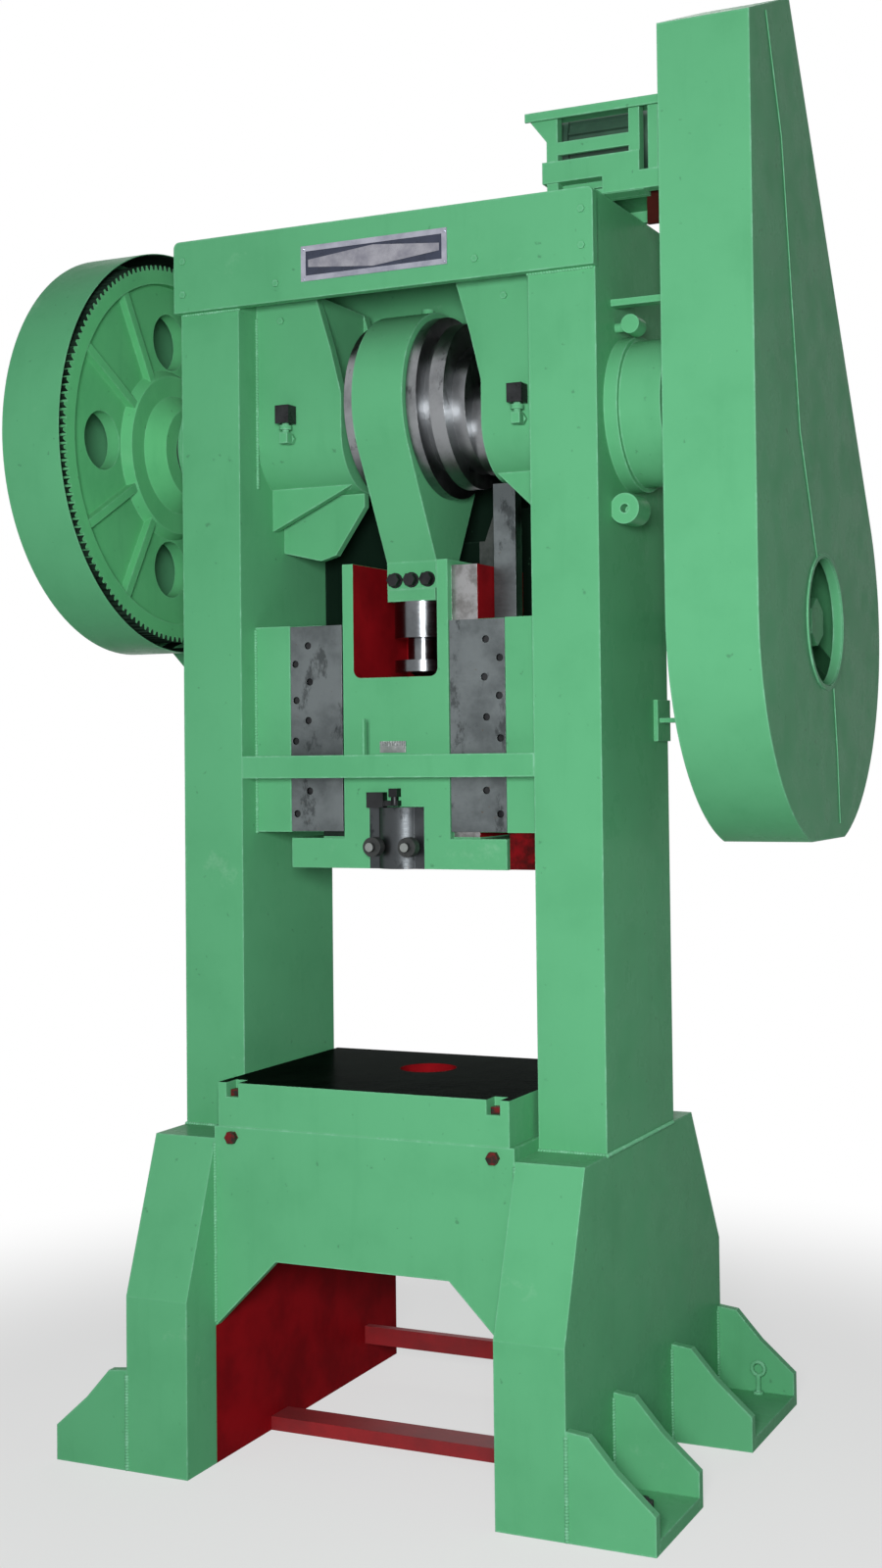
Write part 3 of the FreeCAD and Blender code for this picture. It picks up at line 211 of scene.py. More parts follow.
# %% [markdown]
# Most of the effects start as a cloudy noise and end as a mask. A colour ramp node could make the mask,
# but a smooth step between two values is easier to read in code and to change.

# %% tools for noise and steps


def noise(tree, scale, detail=4.0, rough=0.5, vector=None):
    """A cloudy value from 0 to 1, on object coordinates unless a vector is given."""
    node = tree.nodes.new("ShaderNodeTexNoise")
    node.inputs["Scale"].default_value = scale
    node.inputs["Detail"].default_value = detail
    node.inputs["Roughness"].default_value = rough
    if vector is None:
        vector = tree.nodes.new("ShaderNodeTexCoord").outputs["Object"]
    tree.links.new(vector, node.inputs["Vector"])
    return node.outputs["Fac"]


def ramp(tree, value, low, high, low_out=0.0, high_out=1.0):
    """A smooth step from low_out to high_out while value goes from low to high."""
    node = tree.nodes.new("ShaderNodeMapRange")
    node.interpolation_type = "SMOOTHSTEP"
    node.inputs["From Min"].default_value = low
    node.inputs["From Max"].default_value = high
    node.inputs["To Min"].default_value = low_out
    node.inputs["To Max"].default_value = high_out
    tree.links.new(value, node.inputs["Value"])
    return node.outputs["Result"]


print("noise and step tools ready")

# %% [markdown]
# Masks are multiplied and added, and they mix colours. Wired node by node that takes four lines each
# time. These functions take a number, a colour or another node's output, so a mixture reads as one line.

# %% tools for sums and mixtures


def maths(tree, kind, a, b=None, clamp=False):
    node = tree.nodes.new("ShaderNodeMath")
    node.operation = kind
    node.use_clamp = clamp
    for place, value in enumerate((a, b)):
        if value is None:
            continue
        if isinstance(value, (int, float)):
            node.inputs[place].default_value = value
        else:
            tree.links.new(value, node.inputs[place])
    return node.outputs[0]


def mix(tree, factor, a, b):
    """Colour a where factor is 0 and b where it is 1."""
    node = tree.nodes.new("ShaderNodeMix")
    node.data_type = "RGBA"
    for label, value in (("Factor", factor), ("A", a), ("B", b)):
        socket = [s for s in node.inputs if s.name == label and s.enabled][0]
        if isinstance(value, (int, float)):
            socket.default_value = value
        elif isinstance(value, tuple):
            socket.default_value = (*value, 1.0)
        else:
            tree.links.new(value, socket)
    return [s for s in node.outputs if s.enabled][0]


def blend_value(tree, factor, a, b):
    """Value a where factor is 0 and b where it is 1."""
    keep = maths(tree, "MULTIPLY", a, maths(tree, "SUBTRACT", 1.0, factor))
    return maths(tree, "ADD", keep, maths(tree, "MULTIPLY", factor, b))


def length_of(tree, a, b):
    """The length of a vector with the parts a and b."""
    squares = maths(tree, "ADD", maths(tree, "MULTIPLY", a, a), maths(tree, "MULTIPLY", b, b))
    return maths(tree, "SQRT", squares)


print("sum and mixture tools ready")

# %% [markdown]
# Runs in paint and tool marks in steel have a direction. The noise itself has none, so its coordinates
# are scaled differently on each axis. A wave texture has a direction too, but its stripes are too even
# for paint or steel.

# %% tool for a pattern with a direction


def stretched(tree, x, y, z):
    """Object coordinates scaled on each axis, so that a pattern runs along one of them."""
    place = tree.nodes.new("ShaderNodeTexCoord").outputs["Object"]
    node = tree.nodes.new("ShaderNodeMapping")
    node.inputs["Scale"].default_value = (x, y, z)
    tree.links.new(place, node.inputs["Vector"])
    return node.outputs["Vector"]


print("direction tool ready")

# %% [markdown]
# Paint is thinnest on a corner, and that is where it wears through. A mask could be painted by hand, but
# every change of the solids would undo it. The shader's bevel node gives a rounded normal at a corner, so
# the gap between that and the true one tells how near the corner is. Every corner gets some pale colour
# as a painted highlight, and more where worn spots fall.

# %% group: worn corners with a painted highlight
def build_corner_wear_and_highlight():
    """A mask on corners, where the bevelled normal leaves the true one: thin paint and a painted highlight,
    with worn spots.
    """
    group, start, end = new_group("corner_wear_and_highlight",
                                  [("Radius", "NodeSocketFloat", 0.003), ("Amount", "NodeSocketFloat", 0.5)],
                                  [("Mask", "NodeSocketFloat")])
    bevel = group.nodes.new("ShaderNodeBevel")
    bevel.samples = 4
    group.links.new(start.outputs["Radius"], bevel.inputs["Radius"])
    plain = group.nodes.new("ShaderNodeNewGeometry")
    dot = group.nodes.new("ShaderNodeVectorMath")
    dot.operation = "DOT_PRODUCT"
    group.links.new(bevel.outputs[0], dot.inputs[0])
    group.links.new(plain.outputs["Normal"], dot.inputs[1])
    edge = ramp(group, dot.outputs["Value"], 0.999, 0.95)
    broken = ramp(group, noise(group, 38.0, 6.0, 0.65), 0.50, 0.62, 0.40, 1.0)
    worn = maths(group, "MULTIPLY", edge, broken)
    group.links.new(maths(group, "MULTIPLY", worn, start.outputs["Amount"], True), end.inputs["Mask"])
    return group


CORNER_WEAR_AND_HIGHLIGHT = build_corner_wear_and_highlight()
print(CORNER_WEAR_AND_HIGHLIGHT.name, "has", len(CORNER_WEAR_AND_HIGHLIGHT.nodes), "nodes")

# %% [markdown]
# Dust settles on what looks up. It could be a thin second surface, which is a lot of mesh for a little
# grey. The height of the normal gives its place instead, and noise makes it patchy.

# %% group: settled dust
def build_dust():
    """A mask that is strongest on faces that look up."""
    group, start, end = new_group("settled_dust", [("Amount", "NodeSocketFloat", 0.5)],
                                  [("Mask", "NodeSocketFloat")])
    plain = group.nodes.new("ShaderNodeNewGeometry")
    split = group.nodes.new("ShaderNodeSeparateXYZ")
    group.links.new(plain.outputs["Normal"], split.inputs[0])
    up = ramp(group, split.outputs["Z"], 0.35, 1.0)
    patchy = ramp(group, noise(group, 9.0, 5.0, 0.6), 0.25, 0.75, 0.35, 1.0)
    dust = maths(group, "MULTIPLY", up, patchy)
    group.links.new(maths(group, "MULTIPLY", dust, start.outputs["Amount"], True), end.inputs["Mask"])
    return group


DUST = build_dust()
print(DUST.name, "has", len(DUST.nodes), "nodes")

# %% [markdown]
# Enamel laid on with a gun drifts in depth over a large plate, runs a little downward, and gets rubbed
# and specked in use. One noise for all of that would look like cloud, so each has a noise of its own
# size, and they are mixed into the colour one after another.

# %% group: enamel surface
def build_enamel():
    """Slow colour drift, runs, a few rubbed spots, and the fine ripple of sprayed enamel."""
    group, start, end = new_group("enamel_surface",
                                  [("Colour", "NodeSocketColor", (0.2, 0.5, 0.3, 1)),
                                   ("Deep", "NodeSocketColor", (0.1, 0.3, 0.2, 1))],
                                  [("Colour", "NodeSocketColor"), ("Rough", "NodeSocketFloat"),
                                   ("Height", "NodeSocketFloat")])
    drift = ramp(group, noise(group, 1.6, 3.0, 0.5), 0.30, 0.72)
    patches = ramp(group, noise(group, 6.5, 5.0, 0.6), 0.42, 0.72, 0.0, 0.35)
    run = ramp(group, noise(group, 3.0, 5.0, 0.6, stretched(group, 7.0, 7.0, 0.8)), 0.52, 0.80, 0.0, 0.30)
    drift_share = maths(group, "MULTIPLY", drift, 0.35)
    depth = maths(group, "ADD", drift_share, maths(group, "ADD", patches, run), True)
    colour = mix(group, depth, start.outputs["Colour"], start.outputs["Deep"])
    rubbed = ramp(group, noise(group, 4.5, 8.0, 0.72), 0.63, 0.74, 0.0, 0.30)
    colour = mix(group, rubbed, colour, RUBBED_GREEN)
    grime = ramp(group, noise(group, 48.0, 3.0, 0.5), 0.70, 0.76, 0.0, 0.45)
    colour = mix(group, grime, colour, GRIMY_GREEN)
    group.links.new(colour, end.inputs["Colour"])
    smear = ramp(group, noise(group, 11.0, 6.0, 0.6), 0.35, 0.70, 0.24, 0.40)
    group.links.new(smear, end.inputs["Rough"])
    peel = noise(group, 260.0, 2.0, 0.5)
    wave = noise(group, 14.0, 2.0, 0.5)
    group.links.new(maths(group, "ADD", maths(group, "MULTIPLY", peel, 0.25), wave), end.inputs["Height"])
    return group


ENAMEL = build_enamel()
print(ENAMEL.name, "has", len(ENAMEL.nodes), "nodes")

# %% [markdown]
# ## Finishes
# A finish is a Principled shader fed by those groups. A value that is the same all over sits on the
# shader's own socket and not in a group, because that is where an export looks for it. Corners are
# rounded in the normal alone. A real bevel on every solid would look the same from here, and would change
# meshes that belong to the CAD.

# %% material tools


def new_material(name, metallic, roughness):
    """A new material, its node tree and its shader."""
    material = bpy.data.materials.new(name)
    material.use_nodes = True
    tree = material.node_tree
    shader = tree.nodes["Principled BSDF"]
    shader.inputs["Metallic"].default_value = metallic
    shader.inputs["Roughness"].default_value = roughness
    return material, tree, shader


def use_group(tree, group, **values):
    """Places a node group in a material with its own values."""
    node = tree.nodes.new("ShaderNodeGroup")
    node.node_tree = group
    for label, value in values.items():
        node.inputs[label].default_value = value
    return node


def raise_surface(tree, shader, height, distance, strength=1.0, radius=0.0015):
    """Feeds a height to the shader's normal through a bump, on normals rounded at the corners."""
    bevel = tree.nodes.new("ShaderNodeBevel")
    bevel.samples = 4
    bevel.inputs["Radius"].default_value = radius
    bump = tree.nodes.new("ShaderNodeBump")
    bump.inputs["Strength"].default_value = strength
    bump.inputs["Distance"].default_value = distance
    tree.links.new(height, bump.inputs["Height"])
    tree.links.new(bevel.outputs[0], bump.inputs["Normal"])
    tree.links.new(bump.outputs[0], shader.inputs["Normal"])


print("material tools ready")

# %% [markdown]
# Several nodes have more than one finish, such as a painted plate with a machined face. They could be cut
# into pieces, but then they would no longer be the CAD's own. A field leaves the mesh whole: it is a
# value that is 1 inside a place and 0 outside it, worked out from the object's coordinates.

# %% tools for fields


def axis_value(tree, axis, source="Object"):
    """One object coordinate, or one component of the surface normal."""
    if source == "Object":
        place = tree.nodes.new("ShaderNodeTexCoord").outputs["Object"]
    else:
        place = tree.nodes.new("ShaderNodeNewGeometry").outputs["True Normal"]
    split = tree.nodes.new("ShaderNodeSeparateXYZ")
    tree.links.new(place, split.inputs[0])
    return split.outputs[axis]


def between(tree, axis, low, high, absolute=False):
    """1 where an object coordinate lies between low and high."""
    value = axis_value(tree, axis)
    if absolute:
        value = maths(tree, "ABSOLUTE", value)
    above = maths(tree, "GREATER_THAN", value, low)
    return maths(tree, "MULTIPLY", above, maths(tree, "LESS_THAN", value, high))


def all_of(tree, *fields):
    """1 where every field is 1."""
    result = fields[0]
    for field in fields[1:]:
        result = maths(tree, "MULTIPLY", result, field)
    return result


print("field tools ready")

# %% [markdown]
# The shades below stand where the top coat is missing: primer, worn primer, stained steel and old oil.
# The near-black oil also serves as painted shade on the slide's left wing, and the dark primer as painted
# shade on the guard's stay.
# Each could be a material of its own, given to faces picked by hand. A colour that a field mixes in needs
# no picked faces, and its edge stays sharp where the field ends.

# %% shades without a top coat


def blotched(tree, scale, light, dark):
    """Two colours in soft blotches of a size that scale sets."""
    return mix(tree, ramp(tree, noise(tree, scale, 6.0, 0.6), 0.3, 0.7), light, dark)


def primer_shade(tree):
    return blotched(tree, 8.0, PRIMER, PRIMER_DEEP)


def worn_primer_shade(tree):
    """Primer with oil in it, darker and blotched."""
    oil = ramp(tree, noise(tree, 16.0, 6.0, 0.65), 0.35, 0.62)
    return mix(tree, oil, (0.190, 0.006, 0.009), (0.045, 0.006, 0.006))


# Primer darkened as painted shade, for the belt guard's upper stay.
def primer_in_painted_shade(tree):
    return blotched(tree, 8.0, (0.060, 0.012, 0.009), (0.030, 0.008, 0.006))


def steel_shade(tree):
    stain = ramp(tree, noise(tree, 24.0, 7.0, 0.65), 0.42, 0.66, 0.0, 0.75)
    return mix(tree, stain, STEEL, STEEL_STAIN)


def oil_and_shadow_shade(tree):
    """Steel under old oil: almost black, with paler streaks along the plate. On the slide's left wing it is
    painted shade.
    """
    cloud = ramp(tree, noise(tree, 12.0, 5.0, 0.6), 0.3, 0.7)
    shade = mix(tree, cloud, (0.010, 0.017, 0.014), (0.024, 0.036, 0.029))
    streak = ramp(tree, noise(tree, 18.0, 6.0, 0.65, stretched(tree, 0.35, 2.2, 1.0)), 0.60, 0.80, 0.0, 0.5)
    return mix(tree, streak, shade, (0.075, 0.090, 0.080))


print("shades ready")

# %% [markdown]
# One builder makes every painted finish. It lays the enamel, thins it at corners and paints a highlight
# there, dusts it, and then puts another shade where a field says so. Ten materials wired one by one would
# soon differ in small ways, so each call gives only the colours, the corner wear and highlight, the dust
# and the places.

# %% builder of the painted finishes
PAINT_GLOSS = 0.01      # low, because the white surroundings would whiten the faces seen edge on


def painted(name, colour, deep, wear_and_highlight, dust, areas=()):
    """Enamel on plate. areas lists (field, shade, metallic, roughness) for places without the top coat."""
    material, tree, shader = new_material(name, 0.0, 0.32)
    shader.inputs["Specular IOR Level"].default_value = PAINT_GLOSS
    coat = use_group(tree, ENAMEL, Colour=(*colour, 1), Deep=(*deep, 1))
    corners = use_group(tree, CORNER_WEAR_AND_HIGHLIGHT, Radius=0.006, Amount=wear_and_highlight)
    settled = use_group(tree, DUST, Amount=dust)
    # Corners turn pale: thin enamel, and a painted highlight.
    shade = mix(tree, corners.outputs["Mask"], coat.outputs["Colour"], GREEN_PALE)
    shade = mix(tree, settled.outputs["Mask"], shade, DUST_GREY)
    rough = coat.outputs["Rough"]
    metal = None
    for field, area_shade, area_metal, area_rough in areas:
        bare = field(tree)
        shade = mix(tree, bare, shade, area_shade(tree))
        rough = blend_value(tree, bare, rough, area_rough)
        if area_metal:
            metal = bare if metal is None else maths(tree, "MAXIMUM", metal, bare)
    if metal is not None:
        tree.links.new(metal, shader.inputs["Metallic"])
    tree.links.new(shade, shader.inputs["Base Color"])
    tree.links.new(rough, shader.inputs["Roughness"])
    raise_surface(tree, shader, coat.outputs["Height"], 0.0006, 0.5)
    return material


print("builder of painted finishes ready")

# %% [markdown]
# The inner faces of the legs, the slide's pocket and the side of its right wing show red primer. The
# wings' front faces are machined; the right one shows its steel, and the left one is painted near-black
# as shade. The foot of the right guide bracket never got its top coat. Faces could be picked by number,
# but a new pack numbers them anew, so each place is a box in space, narrowed by the way its faces look
# where a box alone would take too much.

# %% fields on the legs, the slide and its guides
POCKET_X, POCKET_Y, POCKET_Z0, POCKET_Z1 = 0.1025, 0.125, 1.560, 1.9145
WING_Z0, WING_Z1 = 1.320, 1.905         # below and above the slide's wings
WING_X0, WING_X1 = 0.1285, 0.1895       # across the wings' front faces
WING_FRONT = -0.121
BRACKET_FOOT_TOP = 1.3305


def leg_inside(tree):
    """The faces of the legs that look inward, behind the front plate of the bed."""
    hand = maths(tree, "SIGN", axis_value(tree, "X"))
    side = maths(tree, "MULTIPLY", hand, axis_value(tree, "X", "Normal"))
    inward = maths(tree, "LESS_THAN", side, -0.5)
    near = between(tree, "X", 0.0, CLEAR + 2 * MARGIN, True)
    return all_of(tree, inward, near, between(tree, "Y", BED_FRONT, 1.0))


def pocket_inside(tree):
    """The slide's pocket keeps its red primer."""
    deep = between(tree, "Y", SLIDE_FRONT + MARGIN, POCKET_Y)
    across = between(tree, "X", 0.0, POCKET_X, True)
    return all_of(tree, across, deep, between(tree, "Z", POCKET_Z0, POCKET_Z1))


def wing_side(tree):
    """The outer side of the slide's right wing is primer too."""
    return all_of(tree, between(tree, "X", WING_X1, 0.2), between(tree, "Z", WING_Z0, WING_Z1))


def right_wing_face(tree):
    face = between(tree, "Y", WING_FRONT - 2 * MARGIN, WING_FRONT + 2 * MARGIN)
    return all_of(tree, between(tree, "X", WING_X0, WING_X1), face, between(tree, "Z", WING_Z0, WING_Z1))


# The left wing's machined face, painted near-black as shade.
def left_wing_in_shadow(tree):
    across = between(tree, "X", -WING_X1 - MARGIN, -WING_X0)
    return all_of(tree, across, between(tree, "Z", WING_Z0, WING_Z1))


def bracket_foot(tree):
    return between(tree, "Z", 0.0, BRACKET_FOOT_TOP)


print("pocket", round(2 * POCKET_X, 3), "wide and", round(POCKET_Z1 - POCKET_Z0, 3), "high")

# %% [markdown]
# The bolster's top is bare under black oil, and its hole is red inside. A bare strip stands on the
# plate behind the slide, which is painted near-black green as shade, and the upper stay of the belt guard
# is primer darkened as painted shade. A box round the hole would also colour the plate at its corners, so
# the hole's field is a distance from its middle.

# %% fields on the bolster, the tie plate and the guard's stay
BORE_R = 0.0625                         # the bolster's hole and its edge
STRIP_X, STRIP_Y, STRIP_Z = (0.056, 0.091), (0.170, 0.190), (1.810, 2.060)
STAY_Z0, STAY_Z1 = 2.5, 3.0             # the stay near the belt guard's top


def bolster_top(tree):
    return all_of(tree, maths(tree, "GREATER_THAN", axis_value(tree, "Z", "Normal"), 0.5),
                  between(tree, "Z", BOLSTER_TOP - MARGIN, BOLSTER_TOP + MARGIN))


def bolster_bore(tree):
    away = length_of(tree, axis_value(tree, "X"), axis_value(tree, "Y"))
    return maths(tree, "LESS_THAN", away, BORE_R)


def pale_strip(tree):
    """A bare strip on the rear tie plate, right of the rod."""
    across = between(tree, "X", *STRIP_X)
    return all_of(tree, across, between(tree, "Z", *STRIP_Z), between(tree, "Y", *STRIP_Y))


def strip_shade(tree):
    cloud = ramp(tree, noise(tree, 20.0, 5.0, 0.6), 0.3, 0.7)
    return mix(tree, cloud, (0.085, 0.095, 0.090), (0.040, 0.048, 0.044))


def guard_stay(tree):
    return between(tree, "Z", STAY_Z0, STAY_Z1)


print("bolster's hole", 2 * BORE_R, "across with its edge")

# %% [markdown]
# The gear's teeth and the inside of its drum are near-black, as grease and as painted shade of the gap
# between them. Both places are rings round the crankshaft's axis. Boxes can't follow a ring, so one
# distance from that axis serves both.

# %% fields on the gear and its drum
DRUM_R0, DRUM_R1 = 0.4630, 0.4665       # the inner face of the drum's rim


def from_crank_axis(tree):
    """Distance from the crankshaft's axis."""
    up = maths(tree, "SUBTRACT", axis_value(tree, "Z"), CRANK_Z)
    return length_of(tree, axis_value(tree, "Y"), up)


def tooth_flanks(tree):
    """The gear's tooth flanks and tips, dark with old grease and painted shade. Their end faces stay painted.
    """
    side = maths(tree, "ABSOLUTE", axis_value(tree, "X", "Normal"))
    return all_of(tree, maths(tree, "GREATER_THAN", from_crank_axis(tree), TOOTH_ROOT_R),
                  maths(tree, "LESS_THAN", side, 0.5))


def drum_inside(tree):
    """The inner face of the drum's rim, dark with flung grease and with painted shade of the gap round the
    gear.
    """
    away = from_crank_axis(tree)
    return all_of(tree, maths(tree, "GREATER_THAN", away, DRUM_R0), maths(tree, "LESS_THAN", away, DRUM_R1))


# Near-black green: grease, and painted shade in the gap between the teeth and the drum.
def grease_and_shadow_shade(tree):
    cloud = ramp(tree, noise(tree, 14.0, 5.0, 0.6), 0.3, 0.7)
    return mix(tree, cloud, (0.008, 0.018, 0.012), (0.020, 0.042, 0.028))


print("greased rings outside", TOOTH_ROOT_R, "and", DRUM_R0)

# %% [markdown]
# Each painted finish has its colours, its share of corner wear and highlight and of dust, and the places
# where another shade shows. One paint for the whole press would be simpler, but a box that fits one node
# would also colour its neighbours.

# %% the painted finishes
frame_paint = painted("press_green", GREEN, GREEN_DEEP, 0.65, 0.10)
leg_paint = painted("leg_green_red_inside", GREEN, GREEN_DEEP, 0.55, 0.15,
                    [(leg_inside, primer_shade, False, 0.55)])
# The slide's left wing gets near-black as painted shade; its right wing shows machined steel.
slide_paint = painted("slide_green_red_pocket", GREEN, GREEN_DEEP, 0.35, 0.10,
                      [(pocket_inside, primer_shade, False, 0.45), (wing_side, primer_shade, False, 0.5),
                       (right_wing_face, steel_shade, True, 0.38), (left_wing_in_shadow, oil_and_shadow_shade, False, 0.5)])
bolster_paint = painted("bolster_green_sides", GREEN, GREEN_DEEP, 0.35, 0.05,
                        [(bolster_top, oil_and_shadow_shade, True, 0.34), (bolster_bore, primer_shade, False, 0.5)])
# A metal seen edge on turns white. The dark tint keeps the oily top black from there too.
bolster_shader = bolster_paint.node_tree.nodes["Principled BSDF"]
bolster_shader.inputs["Specular Tint"].default_value = (0.08, 0.10, 0.09, 1)
bracket_paint = painted("bracket_green_red_foot", GREEN, GREEN_DEEP, 0.35, 0.10,
                        [(bracket_foot, worn_primer_shade, False, 0.5)])
# The stay near the guard's top is primer darkened as painted shade.
stay_paint = painted("bars_green_red_stay", GREEN, GREEN_DEEP, 0.35, 0.10,
                     [(guard_stay, primer_in_painted_shade, False, 0.5)])
gear_paint = painted("gear_green", GEAR_GREEN, GEAR_GREEN_DEEP, 0.30, 0.10,
                     [(tooth_flanks, grease_and_shadow_shade, False, 0.45)])
drum_paint = painted("drum_green_dark_inside", GREEN, GREEN_DEEP, 0.35, 0.10,
                     [(drum_inside, grease_and_shadow_shade, False, 0.5)])
# The rear tie plate is painted near-black as shade; only its bare strip is lighter.
shadow_plate_paint = painted("painted_shadow_green", SHADED_GREEN, SHADED_GREEN_DEEP, 0.05, 0.02,
                     [(pale_strip, strip_shade, False, 0.5)])
wheel_paint = painted("wheel_green", WHEEL_GREEN, WHEEL_GREEN_DEEP, 0.40, 0.10)
print("painted finishes ready")

# %% [markdown]
# Primer that never got a top coat is flat and dry, blotched, and scuffed grey in places. It could be the
# painted finish in red, but the shine and the runs of enamel would be wrong on it, so it has a shader of
# its own.

# %% primer
def build_primer():
    """Blotched primer, scuffed grey in places."""
    material, tree, shader = new_material("red_primer", 0.0, 0.62)
    blotch = ramp(tree, noise(tree, 7.0, 6.0, 0.62), 0.30, 0.72)
    colour = mix(tree, blotch, PRIMER, PRIMER_DEEP)
    scuff = ramp(tree, noise(tree, 30.0, 7.0, 0.7), 0.66, 0.80, 0.0, 0.4)
    colour = mix(tree, scuff, colour, (0.20, 0.09, 0.08))
    tree.links.new(colour, shader.inputs["Base Color"])
    raise_surface(tree, shader, noise(tree, 90.0, 4.0, 0.6), 0.0005, 0.6)
    return material


primer = build_primer()
print("primer ready")

# %% [markdown]
# The bolster's bolt heads were primed with the bed and have since gone dark with oil. Two materials would
# need faces picked on each head. One noise decides both colour and shine instead, so the oil shines where
# it is dark.

# %% oily bolts
def build_oily_bolts():
    """Bolt heads with primer left under black oil."""
    material, tree, shader = new_material("oily_red_bolts", 0.0, 0.45)
    oil = ramp(tree, noise(tree, 55.0, 5.0, 0.6), 0.40, 0.58)
    tree.links.new(mix(tree, oil, (0.130, 0.008, 0.008), (0.016, 0.014, 0.010)), shader.inputs["Base Color"])
    tree.links.new(ramp(tree, oil, 0.0, 1.0, 0.55, 0.30), shader.inputs["Roughness"])
    shader.inputs["Specular IOR Level"].default_value = 0.20
    raise_surface(tree, shader, noise(tree, 120.0, 3.0, 0.5), 0.0004, 0.5)
    return material


oily_bolts = build_oily_bolts()
print("oily bolts ready")

# %% [markdown]
# Ground steel shows fine parallel lines from the wheel, a film of oil that dulls it in patches, and small
# brown specks. Turned steel shows the same lines as rings. The shader's anisotropy could stretch the
# highlights, but it draws no lines. A noise squeezed along one axis does, and one builder makes both
# kinds with it.

# %% steel
def build_steel(name, colour, dark, rough_low, rough_high, lines, oil):
    """Bare steel. lines squeezes its tool marks along an axis, and oil says how much of it is dulled."""
    material, tree, shader = new_material(name, 1.0, 0.3)
    film = ramp(tree, noise(tree, 9.0, 6.0, 0.6), 0.38, 0.68)
    shade = mix(tree, maths(tree, "MULTIPLY", film, oil), colour, dark)
    blotch = ramp(tree, noise(tree, 16.0, 7.0, 0.70, stretched(tree, 1.0, 1.0, 0.5)), 0.56, 0.64, 0.0, oil)
    shade = mix(tree, blotch, shade, tuple(0.35 * value for value in dark))
    speck = ramp(tree, noise(tree, 95.0, 5.0, 0.6), 0.66, 0.74, 0.0, 0.6)
    shade = mix(tree, speck, shade, (0.10, 0.075, 0.055))
    tree.links.new(shade, shader.inputs["Base Color"])
    wheel = noise(tree, 30.0, 5.0, 0.6, stretched(tree, *lines))
    rough = ramp(tree, wheel, 0.2, 0.8, rough_low, rough_high)
    tree.links.new(rough, shader.inputs["Roughness"])
    raise_surface(tree, shader, wheel, 0.0004, 0.35, 0.001)
    return material


ground_steel = build_steel("ground_steel", (0.150, 0.170, 0.175), (0.045, 0.052, 0.055), 0.30, 0.48,
                           (1.0, 1.0, 26.0), 0.6)
turned_steel = build_steel("turned_steel", (0.26, 0.27, 0.28), (0.08, 0.085, 0.09), 0.26, 0.44,
                           (24.0, 1.0, 1.0), 0.6)
bright_steel = build_steel("bright_steel", (0.17, 0.18, 0.19), (0.055, 0.06, 0.065), 0.16, 0.28,
                           (1.0, 1.0, 20.0), 0.6)
cap_steel = build_steel("clamp_steel", (0.060, 0.066, 0.070), (0.022, 0.025, 0.027), 0.30, 0.46,
                        (1.0, 1.0, 22.0), 0.6)
black_steel = build_steel("black_steel", (0.035, 0.036, 0.038), (0.012, 0.013, 0.014), 0.32, 0.55,
                          (14.0, 1.0, 1.0), 0.5)
print("steel finishes ready")

# %% [markdown]
# The clamp's nuts are black with grease, and only the ends of their studs shine. Nut and stud are one
# node of the CAD. A bright disc could be laid on each end, but two faces in one place render as specks,
# so the distance from the stud's axis tells the two apart.

# %% clamp studs
STUD_X, STUD_Z, STUD_R = 0.042, 1.300, 0.010


def build_stud_steel():
    """Black nuts in grease round the bright ends of the clamp's studs."""
    material, tree, shader = new_material("clamp_stud_steel", 0.0, 0.45)
    across = maths(tree, "SUBTRACT", maths(tree, "ABSOLUTE", axis_value(tree, "X")), STUD_X)
    up = maths(tree, "SUBTRACT", axis_value(tree, "Z"), STUD_Z)
    from_axis = length_of(tree, across, up)
    grease = noise(tree, 90.0, 5.0, 0.6)
    nut = mix(tree, grease, (0.014, 0.016, 0.015), (0.045, 0.048, 0.048))
    bright = mix(tree, grease, (0.300, 0.320, 0.310), (0.150, 0.165, 0.155))
    stud_end = maths(tree, "LESS_THAN", from_axis, STUD_R * 0.95)
    tree.links.new(mix(tree, stud_end, nut, bright), shader.inputs["Base Color"])
    tree.links.new(ramp(tree, grease, 0.3, 0.7, 0.35, 0.60), shader.inputs["Roughness"])
    shader.inputs["Specular IOR Level"].default_value = 0.25
    raise_surface(tree, shader, noise(tree, 400.0, 3.0, 0.5), 0.0003, 0.4)
    return material


stud_steel = build_stud_steel()
print("clamp studs' finish ready")

# %% [markdown]
# The small parts are bronze, rubber, plastic, plate and motor enamel. Each could have its own detail,
# which no view of the press comes near enough to show. Here they differ in colour, grain and shine, so
# one builder makes them all.

# %% bronze, rubber, plastic and plate
def build_plain(name, colour, dark, metallic, low, high, scale, bump=0.0004):
    """A clouded colour whose roughness goes from low to high with the cloud."""
    material, tree, shader = new_material(name, metallic, 0.4)
    cloud = noise(tree, scale, 6.0, 0.6)
    tree.links.new(mix(tree, ramp(tree, cloud, 0.3, 0.7), colour, dark), shader.inputs["Base Color"])
    tree.links.new(ramp(tree, cloud, 0.25, 0.75, low, high), shader.inputs["Roughness"])
    raise_surface(tree, shader, noise(tree, scale * 8, 3.0, 0.5), bump, 0.4, 0.0008)
    return material


